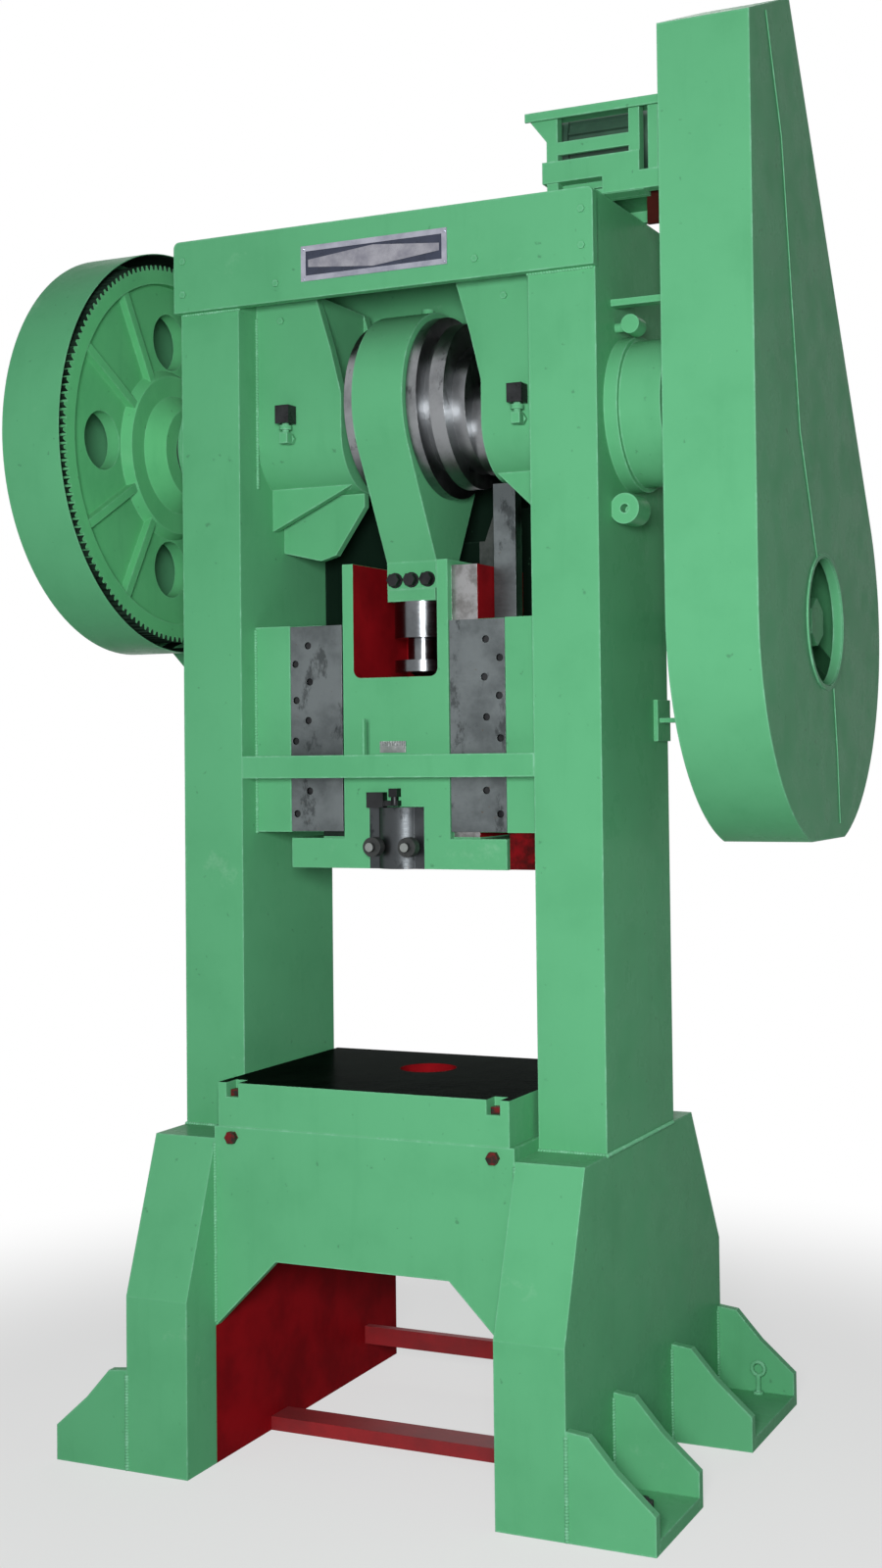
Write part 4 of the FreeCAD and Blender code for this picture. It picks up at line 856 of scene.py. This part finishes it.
bronze = build_plain("bearing_bronze", (0.52, 0.33, 0.13), (0.30, 0.18, 0.07), 1.0, 0.25, 0.42, 20.0)
rubber = build_plain("belt_rubber", (0.020, 0.020, 0.021), (0.035, 0.033, 0.030), 0.0, 0.62, 0.85, 40.0)
cup_black = build_plain("oil_cup_black", (0.012, 0.013, 0.014), (0.028, 0.030, 0.032), 0.0, 0.22, 0.40, 30.0)
cup_black.node_tree.nodes["Principled BSDF"].inputs["Specular IOR Level"].default_value = 0.15
plate_silver = build_plain("plate_silver", (0.42, 0.43, 0.50), (0.28, 0.29, 0.35), 1.0, 0.26, 0.42, 24.0,
                           0.0002)
motor_paint = build_plain("motor_enamel", (0.045, 0.110, 0.070), (0.030, 0.075, 0.050), 0.0, 0.34, 0.50, 12.0)
print("small parts' finishes ready")

# %% [markdown]
# The nameplate is dark enamel round a bare raised panel, and the scale is a silver strip with dark
# division lines. An image could be laid on either, but the script would then need a picture file. Depth
# tells the panel from its ground, and the lines come from counting steps along the strip.

# %% nameplate and scale
PANEL_FRONT = -0.2240   # the nameplate's raised panel stands in front of this
SCALE_STEP = 0.004      # from one division line of the scale to the next
LONG_LINE_Z, SHORT_LINE_Z, LINE_TOP = 1.511, 1.517, 1.6
OFFSET = 100.0          # keeps the counted divisions above zero


def build_name_plate():
    """Dark enamel with the raised panel rubbed back to the metal."""
    material, tree, shader = new_material("plate_dark_and_silver", 0.0, 0.3)
    raised = maths(tree, "LESS_THAN", axis_value(tree, "Y"), PANEL_FRONT)
    cloud = ramp(tree, noise(tree, 30.0, 5.0, 0.6), 0.3, 0.7)
    dark = mix(tree, cloud, (0.012, 0.018, 0.040), (0.022, 0.028, 0.055))
    silver = mix(tree, cloud, (0.36, 0.36, 0.40), (0.22, 0.22, 0.26))
    tree.links.new(mix(tree, raised, dark, silver), shader.inputs["Base Color"])
    tree.links.new(raised, shader.inputs["Metallic"])
    tree.links.new(ramp(tree, cloud, 0.0, 1.0, 0.24, 0.38), shader.inputs["Roughness"])
    raise_surface(tree, shader, noise(tree, 160.0, 3.0, 0.5), 0.0002, 0.4, 0.0006)
    return material


def build_scale_plate():
    """A silver strip with plain dark division lines, longer at every fifth one. It bears no figures."""
    material, tree, shader = new_material("scale_silver", 1.0, 0.3)
    along = maths(tree, "DIVIDE", axis_value(tree, "X"), SCALE_STEP)
    by_one = maths(tree, "ADD", along, OFFSET)
    by_five = maths(tree, "ADD", maths(tree, "DIVIDE", along, 5.0), OFFSET)
    line = maths(tree, "LESS_THAN", maths(tree, "FRACT", by_one), 0.24)
    fifth = maths(tree, "LESS_THAN", maths(tree, "FRACT", by_five), 0.2)
    tall = maths(tree, "MULTIPLY", fifth, between(tree, "Z", LONG_LINE_Z, LINE_TOP))
    short = between(tree, "Z", SHORT_LINE_Z, LINE_TOP)
    mark = maths(tree, "MULTIPLY", line, maths(tree, "MAXIMUM", tall, short))
    cloud = ramp(tree, noise(tree, 40.0, 5.0, 0.6), 0.3, 0.7)
    silver = mix(tree, cloud, (0.36, 0.38, 0.38), (0.24, 0.26, 0.26))
    tree.links.new(mix(tree, mark, silver, (0.02, 0.02, 0.025)), shader.inputs["Base Color"])
    tree.links.new(ramp(tree, cloud, 0.0, 1.0, 0.26, 0.40), shader.inputs["Roughness"])
    raise_surface(tree, shader, mark, -0.0003, 0.5, 0.0006)
    return material


name_plate = build_name_plate()
scale_face = build_scale_plate()
print("nameplate and scale ready")

# %% [markdown]
# ## Giving each CAD node its finish
# The solids keep their meshes, and only the material in each of their slots is changed. Each could be
# dressed where its finish is made. One list shows the whole press at a glance instead, and it can be
# asked which nodes were left out. That answer has to come out empty.

# %% finish for every node
FINISH = {
    frame_paint: ["left_column", "right_column", "foot_gussets", "foot_pads",
                  "bed_front_plate", "bed_rear_plate", "bed_top_plate",
                  "crown_front_plate", "crown_rear_plate", "crown_top_plate", "crown_bolts",
                  "left_bearing_housing", "right_bearing_housing", "housing_bolts", "oil_fittings",
                  "side_lug", "hanging_braces", "left_gib_bracket", "front_tie_bar", "stroke_pointer",
                  "connecting_rod", "rod_clamp_bar", "belt_guard", "belt_guard_back",
                  "back_shaft_bearings", "motor_bracket", "motor_plate"],
    leg_paint: ["left_leg", "right_leg"],
    slide_paint: ["slide"],
    gear_paint: ["main_gear"],
    wheel_paint: ["pinion_flywheel"],
    drum_paint: ["gear_guard"],
    bracket_paint: ["right_gib_bracket"],
    stay_paint: ["belt_guard_brackets"],
    shadow_plate_paint: ["rear_tie_plate"],
    primer: ["front_floor_bar", "rear_floor_bar"],
    oily_bolts: ["bolster_bolts"],
    ground_steel: ["left_gib_plates", "right_gib_plates"],
    cap_steel: ["shank_clamp_cap"],
    stud_steel: ["shank_clamp_studs"],
    turned_steel: ["crankshaft", "back_shaft", "motor_rotor", "gear_nut"],
    bright_steel: ["adjusting_screw"],
    bolster_paint: ["bolster_plate"],
    black_steel: ["gib_screws", "clamp_set_screw", "rod_clamp_bolts"],
    bronze: ["crank_bushes", "strap_lining"],
    rubber: ["drive_belts"],
    cup_black: ["oil_cups"],
    plate_silver: ["nameplate_frame"],
    name_plate: ["nameplate"],
    scale_face: ["scale_plate"],
    motor_paint: ["motor_housing"],
}
for material, names in FINISH.items():
    for name in names:
        if name in nodes:
            for slot in nodes[name].material_slots:
                slot.material = material
finished = {name for names in FINISH.values() for name in names}
print("without a finish:", [name for name in nodes if name not in finished])

# %% [markdown]
# ## Weld beads
# A press frame is welded from plate, and a weld bead is a row of small overlapping ripples. A tube with a
# bumpy shader would stay smooth in outline, so the ripples are real. One is modelled as a flattened ball
# and copied for each seam. An array repeats it along the seam, and the row is then turned onto it.

# %% weld beads
RIPPLE = 0.0055         # radius of one ripple
RIPPLE_SHAPE = (0.75, 1.0, 0.85)    # along the seam, across it and out of the plate
RIPPLE_STEP = 0.0062


def build_ripple():
    """One ripple of a weld bead, a ball flattened in edit mode."""
    clear_selection()
    bpy.ops.mesh.primitive_uv_sphere_add(segments=8, ring_count=5, radius=RIPPLE)
    ripple = bpy.context.object
    ripple.name = "bead"
    bpy.ops.object.mode_set(mode="EDIT")
    bpy.ops.mesh.select_all(action="SELECT")
    bpy.ops.transform.resize(value=RIPPLE_SHAPE)
    bpy.ops.object.mode_set(mode="OBJECT")
    bpy.ops.object.shade_smooth()
    return ripple


def weld_bead(ripple, start, end):
    """A row of ripples from start to end."""
    start, end = Vector(start), Vector(end)
    length = (end - start).length
    bead = copy_of(ripple)
    row = bead.modifiers.new("row", "ARRAY")
    row.use_relative_offset = False
    row.use_constant_offset = True
    row.constant_offset_displace = (RIPPLE_STEP, 0, 0)
    row.count = max(2, int(length / RIPPLE_STEP))
    bpy.ops.object.modifier_apply(modifier="row")
    bead.rotation_euler = (end - start).to_track_quat("X", "Z").to_euler()
    bead.location = start
    return keep_place(bead)


print("a bead has", round(1 / RIPPLE_STEP), "ripples in a metre")

# %% [markdown]
# The seams run where the columns stand on the legs and under the crown, down the bed's front plate, along
# the guides and hangers, and up both sides of the foot gussets. They could be found from the solids' edges,
# but not every edge is welded, so they are listed.

# %% seams
GUSSET_YS = (-0.435, -0.185, 0.165, 0.485)      # front faces of the foot gussets
GUSSET_PLATE, GUSSET_TOP, PAD_TOP = 0.020, 0.208, 0.027
GUSSET_LOW = 0.004
ARCH_TOP, BED_SEAM_TOP = 0.300, 0.680
GUIDE_FRONT, HANGER_FRONT, BARREL_LOW = -0.140, -0.125, 2.100
SEAMS = []
for side in (-1, 1):
    outer, inner = side * SPAN, side * CLEAR
    SEAMS += [((inner, -COLUMN_Y, LEG_TOP), (outer, -COLUMN_Y, LEG_TOP)),
              ((outer, -COLUMN_Y, LEG_TOP), (outer, COLUMN_Y, LEG_TOP)),
              ((inner, COLUMN_Y, LEG_TOP), (outer, COLUMN_Y, LEG_TOP)),
              ((inner, -COLUMN_Y, CROWN_BOTTOM), (outer, -COLUMN_Y, CROWN_BOTTOM)),
              ((inner, COLUMN_Y, CROWN_BOTTOM), (outer, COLUMN_Y, CROWN_BOTTOM)),
              ((inner, BED_FRONT, ARCH_TOP), (inner, BED_FRONT, BED_SEAM_TOP)),
              ((inner, GUIDE_FRONT, GUIDE_BOTTOM), (inner, GUIDE_FRONT, GUIDE_TOP)),
              ((inner, HANGER_FRONT, BARREL_LOW), (inner, HANGER_FRONT, CROWN_BOTTOM))]
    for front in GUSSET_YS:
        rear = front + GUSSET_PLATE
        SEAMS += [((outer, front, GUSSET_LOW), (outer, front, GUSSET_TOP)),
                  ((outer, rear, PAD_TOP), (outer, rear, GUSSET_TOP))]
print(len(SEAMS), "seams listed")

# %% [markdown]
# Every seam gets its own row of ripples. The rows could stay separate pieces, but a list of them would be
# long, and all of them are painted with the frame, so they become one.

# %% beads along the seams
ripple = build_ripple()
beads = [weld_bead(ripple, start, end) for start, end in SEAMS]
bpy.data.objects.remove(ripple)
welds = finish_piece(merge("weld_beads", beads), frame_paint, "frame")
print("weld beads:", len(welds.data.polygons), "faces")

# %% [markdown]
# ## Seam of the belt guard
# The guard's outer face is two sheets that meet on a line through the back shaft, and their edges are
# turned out into a thin lip. A curve with a section could draw it, and would have to be made a mesh
# afterwards. A small rectangle is extruded down the line instead, one leg at a time, and its edges are
# then softened.

# %% guard seam
LIP_W, LIP_D, LIP_ROUND = 0.005, 0.0025, 0.0008
UPPER_SEAM = [(-0.115, 2.990), (-0.017, 2.758), (0.031, 2.484), (0.086, 2.165), (0.159, 2.008),
              (0.203, 1.910)]
LOWER_SEAM = [(0.322, 1.632), (0.345, 1.480), (0.357, 1.334)]


def seam_lip(name, line):
    """A lip on the guard's outer face along a line of (y, z) points."""
    y, z = line[0]
    clear_selection()
    bpy.ops.mesh.primitive_plane_add(size=1, location=(GUARD_X1 + LIP_D / 2, y, z))
    lip = bpy.context.object
    lip.name = name
    lip.scale = (LIP_D, LIP_W, 1)
    keep_place(lip)
    bpy.ops.object.mode_set(mode="EDIT")
    bpy.ops.mesh.select_all(action="SELECT")
    for (y0, z0), (y1, z1) in zip(line, line[1:]):
        bpy.ops.mesh.extrude_region_move(TRANSFORM_OT_translate={"value": (0, y1 - y0, z1 - z0)})
    bpy.ops.mesh.select_all(action="SELECT")
    bpy.ops.mesh.normals_make_consistent(inside=False)
    bpy.ops.object.mode_set(mode="OBJECT")
    return soften(lip, LIP_ROUND, 1)


lips = [seam_lip("upper_lip", UPPER_SEAM), seam_lip("lower_lip", LOWER_SEAM)]
seam = finish_piece(merge("guard_seam_lip", lips), frame_paint, "frame")
print("guard seam:", len(seam.data.polygons), "faces")

# %% [markdown]
# ## Collar of the guard's window
# The window's edge is turned inward to a short tube, so that no sheared edge shows. A torus would look
# like a ring of wire. A cylinder without ends gets its sheet thickness from a modifier, and the lip where
# it leaves the face is rounded.

# %% window collar
WINDOW_R, COLLAR_DEPTH, COLLAR_SHEET = 0.140, 0.022, 0.0025
COLLAR_GAP, COLLAR_OUT = 0.0004, 0.002      # inside the window's edge, and how far it stands out
clear_selection()
bpy.ops.mesh.primitive_cylinder_add(vertices=96, radius=WINDOW_R - COLLAR_GAP, depth=COLLAR_DEPTH,
                                    end_fill_type="NOTHING",
                                    location=(GUARD_X1 + COLLAR_OUT - COLLAR_DEPTH / 2, BACK_Y, BACK_Z),
                                    rotation=(0, math.pi / 2, 0))
window_collar = bpy.context.object
window_collar.name = "window_collar"
keep_place(window_collar)
sheet = window_collar.modifiers.new("sheet", "SOLIDIFY")
sheet.thickness = COLLAR_SHEET
sheet.offset = -1
bpy.ops.object.modifier_apply(modifier="sheet")
soften(window_collar, 0.001, 2)
finish_piece(window_collar, frame_paint, "frame")
print("window collar:", len(window_collar.data.polygons), "faces")

# %% [markdown]
# ## Nuts and small screws
# A hexagon nut is a six-sided cylinder with softened edges, on a round washer, with the end of its stud
# in the middle. Threads could be cut with a screw modifier, but from a few metres only the outline
# counts. Each size is modelled once at the origin and copied to its places.

# %% tools for nuts and screws
WASHER = 0.003          # thickness of a washer
RIM_SHARE = 0.12        # how much of the smaller of radius and depth a rim's softening takes


def add_cylinder(name, radius, depth, place, axis, sides=32):
    """A cylinder with softened rims, its middle at place and its length along axis."""
    clear_selection()
    bpy.ops.mesh.primitive_cylinder_add(vertices=sides, radius=radius, depth=depth, location=place)
    piece = bpy.context.object
    piece.name = name
    piece.rotation_euler = Vector(axis).to_track_quat("Z", "Y").to_euler()
    keep_place(piece)
    return soften(piece, min(radius, depth) * RIM_SHARE, 2)


def hex_nut(name, axis, across, height):
    """A washer, a hexagon nut and a stud end, standing on the origin along axis."""
    axis = Vector(axis)
    radius = across / math.sqrt(3)
    stud_length = height + 2 * WASHER
    parts = [add_cylinder("washer", radius * 1.12, WASHER, axis * (WASHER / 2), axis),
             add_cylinder("nut", radius, height, axis * (WASHER + height / 2), axis, 6),
             add_cylinder("stud", across * 0.30, stud_length, axis * (2 * WASHER + height / 2), axis, 16)]
    return merge(name, parts)


print("nut tools ready")

# %% [markdown]
# Four anchor bolts hold the feet down, and four small screws hold the nameplate. Eight separate models would
# be the same work eight times, so each kind is modelled once.

# %% anchor nuts and nameplate screws
ANCHOR_X, ANCHOR_Y, FOOT_TOP = 0.605, 0.300, 0.025
ANCHOR_ACROSS, ANCHOR_HEIGHT = 0.036, 0.022
anchor_places = [(x, y, FOOT_TOP) for x in (-ANCHOR_X, ANCHOR_X) for y in (-ANCHOR_Y, ANCHOR_Y)]
anchor_nut = hex_nut("anchor", (0, 0, 1), ANCHOR_ACROSS, ANCHOR_HEIGHT)
anchor_nuts = merge("anchor_nuts", copies_at(anchor_nut, anchor_places))
finish_piece(anchor_nuts, black_steel, "frame")

PLATE_SCREW_X, PLATE_SCREW_Y, PLATE_SCREW_Z = 0.170, -0.2256, (2.532, 2.597)
PLATE_SCREW_R, PLATE_SCREW_H = 0.0035, 0.0022
screw_places = [(x, PLATE_SCREW_Y, z) for x in (-PLATE_SCREW_X, PLATE_SCREW_X) for z in PLATE_SCREW_Z]
plate_screw = add_cylinder("screw", PLATE_SCREW_R, PLATE_SCREW_H, (0, 0, 0), (0, 1, 0), 16)
plate_screws = merge("nameplate_screws", copies_at(plate_screw, screw_places))
finish_piece(plate_screws, plate_silver, "frame")
print("anchor nuts:", len(anchor_nuts.data.polygons), "faces, screws:", len(plate_screws.data.polygons))

# %% [markdown]
# One foot holds an eye bolt. Its ring could be bent from a curve, but a torus has that shape at once. It
# stands on a shank with a collar at its foot, which are two cylinders with softened rims.

# %% eye bolt
EYE_X, EYE_Y = 0.600, 0.470
RING_Z, RING_R, RING_WIRE = 0.082, 0.015, 0.0042
SHANK_Z, SHANK_R, SHANK_LENGTH = 0.046, 0.0055, 0.046
COLLAR_Z, COLLAR_R, COLLAR_HEIGHT = 0.028, 0.012, 0.006
clear_selection()
bpy.ops.mesh.primitive_torus_add(major_radius=RING_R, minor_radius=RING_WIRE, major_segments=28,
                                 minor_segments=10, location=(EYE_X, EYE_Y, RING_Z),
                                 rotation=(math.pi / 2, 0, 0))
eye = keep_place(bpy.context.object)
shank = add_cylinder("eye_shank", SHANK_R, SHANK_LENGTH, (EYE_X, EYE_Y, SHANK_Z), (0, 0, 1), 16)
collar = add_cylinder("eye_collar", COLLAR_R, COLLAR_HEIGHT, (EYE_X, EYE_Y, COLLAR_Z), (0, 0, 1), 24)
eye_bolt = finish_piece(merge("foot_eye_bolt", [eye, shank, collar]), frame_paint, "frame")
print("eye bolt:", len(eye_bolt.data.polygons), "faces")

# %% [markdown]
# The back shaft's bearings are bolted to the columns from behind, with the same kind of nut. The anchor
# nut could be shrunk and turned, but its washer would shrink too, so a smaller one is modelled on this
# axis and copied.

# %% bearing nuts
BOLT_END_Y, BOLT_UP = 0.236, 0.095      # ends of the back bearings' bolts, above and below the shaft
BEARING_ACROSS, BEARING_HEIGHT = 0.026, 0.012
bearing_places = [(x, BOLT_END_Y, BACK_Z + z) for x in (-BEARING_X, BEARING_X) for z in (-BOLT_UP, BOLT_UP)]
bearing_nut = hex_nut("bearing", (0, 1, 0), BEARING_ACROSS, BEARING_HEIGHT)
bearing_nuts = merge("bearing_nuts", copies_at(bearing_nut, bearing_places))
finish_piece(bearing_nuts, black_steel, "frame")
print("bearing nuts:", len(bearing_nuts.data.polygons), "faces")

# %% [markdown]
# ## Fan cover of the motor
# The cover over a motor's fan is pressed sheet with rings of slots. Cutting them would take a boolean on
# a mesh that belongs to the CAD. Raised rings and spokes stand in for the webs between the slots. One
# spoke is modelled and copied round the middle.

# %% fan grille
FAN_CENTRE = Vector((0.375, 0.0, 2.790))
RING_RADII = (0.030, 0.050, 0.070)
GRILLE_WIRE, SPOKE_R = 0.0028, 0.0026
SPOKES = 8
grille = []
for radius in RING_RADII:
    clear_selection()
    bpy.ops.mesh.primitive_torus_add(major_radius=radius, minor_radius=GRILLE_WIRE, major_segments=40,
                                     minor_segments=8, location=FAN_CENTRE, rotation=(0, math.pi / 2, 0))
    bpy.ops.object.shade_smooth()
    grille.append(keep_place(bpy.context.object))
spoke_length = RING_RADII[2] - RING_RADII[0]
spoke_model = add_cylinder("spoke", SPOKE_R, spoke_length, (0, RING_RADII[1], 0), (0, 1, 0), 8)
for i in range(SPOKES):
    spoke = copy_of(spoke_model)
    spoke.rotation_euler = (2 * math.pi * i / SPOKES, 0, 0)
    spoke.location = FAN_CENTRE
    grille.append(keep_place(spoke))
bpy.data.objects.remove(spoke_model)
fan_grille = finish_piece(merge("fan_grille", grille), motor_paint, "frame")
print("fan grille:", len(fan_grille.data.polygons), "faces")

# %% [markdown]
# ## Floor, light and camera
# The picture was cut out on white. More light would make the floor white, and would bleach the press too.
# Instead the floor's own material shows white to the camera and to reflections, fully so away from the
# press, and keeps a soft shadow round its feet.

# %% floor
NEAR_FLOOR, FAR_FLOOR = 1.1, 2.6        # the floor turns to plain white between these distances
NEAR_WHITE = 0.60                       # share of plain white near the press, which leaves the shadow
FLOOR_GREY = (0.55, 0.55, 0.545)


def white_to_camera(tree):
    """1 for camera, glossy and transmission rays."""
    rays = tree.nodes.new("ShaderNodeLightPath").outputs
    seen = maths(tree, "ADD", rays["Is Camera Ray"], rays["Is Glossy Ray"], True)
    return maths(tree, "ADD", seen, rays["Is Transmission Ray"], True)


clear_selection()
bpy.ops.mesh.primitive_plane_add(size=60, location=(0, 0, 0))
floor = bpy.context.object
floor.name = "studio_floor"
floor_material, floor_tree, floor_shader = new_material("studio_white", 0.0, 0.9)
floor_shader.inputs["Base Color"].default_value = (*FLOOR_GREY, 1)
floor_shader.inputs["Specular IOR Level"].default_value = 0.0
glow = floor_tree.nodes.new("ShaderNodeEmission")
glow.inputs["Color"].default_value = (1, 1, 1, 1)
blend = floor_tree.nodes.new("ShaderNodeMixShader")
reach = floor_tree.nodes.new("ShaderNodeVectorMath")
reach.operation = "LENGTH"
floor_tree.links.new(floor_tree.nodes.new("ShaderNodeTexCoord").outputs["Object"], reach.inputs[0])
far = ramp(floor_tree, reach.outputs["Value"], NEAR_FLOOR, FAR_FLOOR, NEAR_WHITE, 1.0)
floor_tree.links.new(maths(floor_tree, "MULTIPLY", white_to_camera(floor_tree), far), blend.inputs[0])
floor_tree.links.new(floor_shader.outputs[0], blend.inputs[1])
floor_tree.links.new(glow.outputs[0], blend.inputs[2])
floor_tree.links.new(blend.outputs[0], floor_tree.nodes["Material Output"].inputs["Surface"])
floor.data.materials.append(floor_material)
print("floor ready")

# %% [markdown]
# The world is the light that comes from all sides. A plain weak one would light the press well but would
# stand behind it as grey, so the camera and reflections see white, and everything else gets a weak, cool
# fill.

# %% world
FILL_COLOUR, FILL_STRENGTH = (0.90, 0.95, 1.0), 0.10
world = bpy.data.worlds.new("studio")
bpy.context.scene.world = world
world.use_nodes = True
sky = world.node_tree
background = sky.nodes["Background"]
background.inputs["Color"].default_value = (*FILL_COLOUR, 1)
background.inputs["Strength"].default_value = FILL_STRENGTH
white = sky.nodes.new("ShaderNodeBackground")
white.inputs["Color"].default_value = (1, 1, 1, 1)
white.inputs["Strength"].default_value = 1.0
choose = sky.nodes.new("ShaderNodeMixShader")
sky.links.new(white_to_camera(sky), choose.inputs[0])
sky.links.new(background.outputs[0], choose.inputs[1])
sky.links.new(white.outputs[0], choose.inputs[2])
sky.links.new(choose.outputs[0], sky.nodes["World Output"].inputs["Surface"])
print("world ready")

# %% [markdown]
# The picture was lit by a flash, so the key lamp stands next to the camera, and the faces that look right
# fall into shade. A point would give hard black shadows, and a lamp as wide as a room would give none, so
# it is a square of under a metre. A soft lamp from above and one from behind fill the rest.

# %% lamps
AIM = Vector((0.0, 0.0, 1.45))          # the middle of the press, where every lamp points


def add_lamp(name, place, size, power):
    """A square lamp that points at AIM, its size in metres and its power in watts."""
    clear_selection()
    bpy.ops.object.light_add(type="AREA", location=place)
    lamp = bpy.context.object
    lamp.name = name
    lamp.data.size = size
    lamp.data.energy = power
    lamp.rotation_euler = (AIM - Vector(place)).to_track_quat("-Z", "Y").to_euler()


add_lamp("key", (1.75, -4.1, 1.8), 0.9, 175)
add_lamp("top", (0.3, -1.5, 6.0), 3.0, 25)
add_lamp("back", (-1.0, 5.5, 4.0), 4.0, 60)
print("lamps ready")

# %% [markdown]
# The camera was fitted to corners of the press. Its axis doesn't meet the middle of the picture, because
# the picture was trimmed. Turning the camera to the middle would make the columns lean, so the frame is
# shifted.

# %% camera
CAMERA_PLACE = Vector((1.9709, -3.9419, 1.4972))
YAW, PITCH, ROLL = math.radians(24.3), math.radians(1.8), math.radians(-0.7)
PICTURE = (900, 1600)           # width and height in pixels
FOCAL_PX = 2021.6               # focal length in the same pixels
AXIS_PX = (512.9, 705.4)        # where the lens's axis meets the picture
SENSOR = 36.0                   # millimetres

ahead = Vector((-math.sin(YAW) * math.cos(PITCH), math.cos(YAW) * math.cos(PITCH), math.sin(PITCH)))
level = Vector((math.cos(YAW), math.sin(YAW), 0.0))
upright = level.cross(ahead)
right = math.cos(ROLL) * level + math.sin(ROLL) * upright
up = -math.sin(ROLL) * level + math.cos(ROLL) * upright

camera_data = bpy.data.cameras.new("photo_camera")
camera = bpy.data.objects.new("photo_camera", camera_data)
bpy.context.collection.objects.link(camera)
camera.matrix_world = Matrix((
    (right.x, up.x, -ahead.x, CAMERA_PLACE.x),
    (right.y, up.y, -ahead.y, CAMERA_PLACE.y),
    (right.z, up.z, -ahead.z, CAMERA_PLACE.z),
    (0, 0, 0, 1)))
camera_data.sensor_fit = "VERTICAL"
camera_data.sensor_height = SENSOR
camera_data.lens = FOCAL_PX * SENSOR / PICTURE[1]
camera_data.shift_x = (PICTURE[0] / 2 - AXIS_PX[0]) / PICTURE[1]
camera_data.shift_y = (AXIS_PX[1] - PICTURE[1] / 2) / PICTURE[1]
bpy.context.scene.camera = camera
bpy.context.scene.view_settings.view_transform = "Standard"
shift = [round(value, 3) for value in (camera_data.shift_x, camera_data.shift_y)]
print("lens", round(camera_data.lens, 1), "shift", shift)
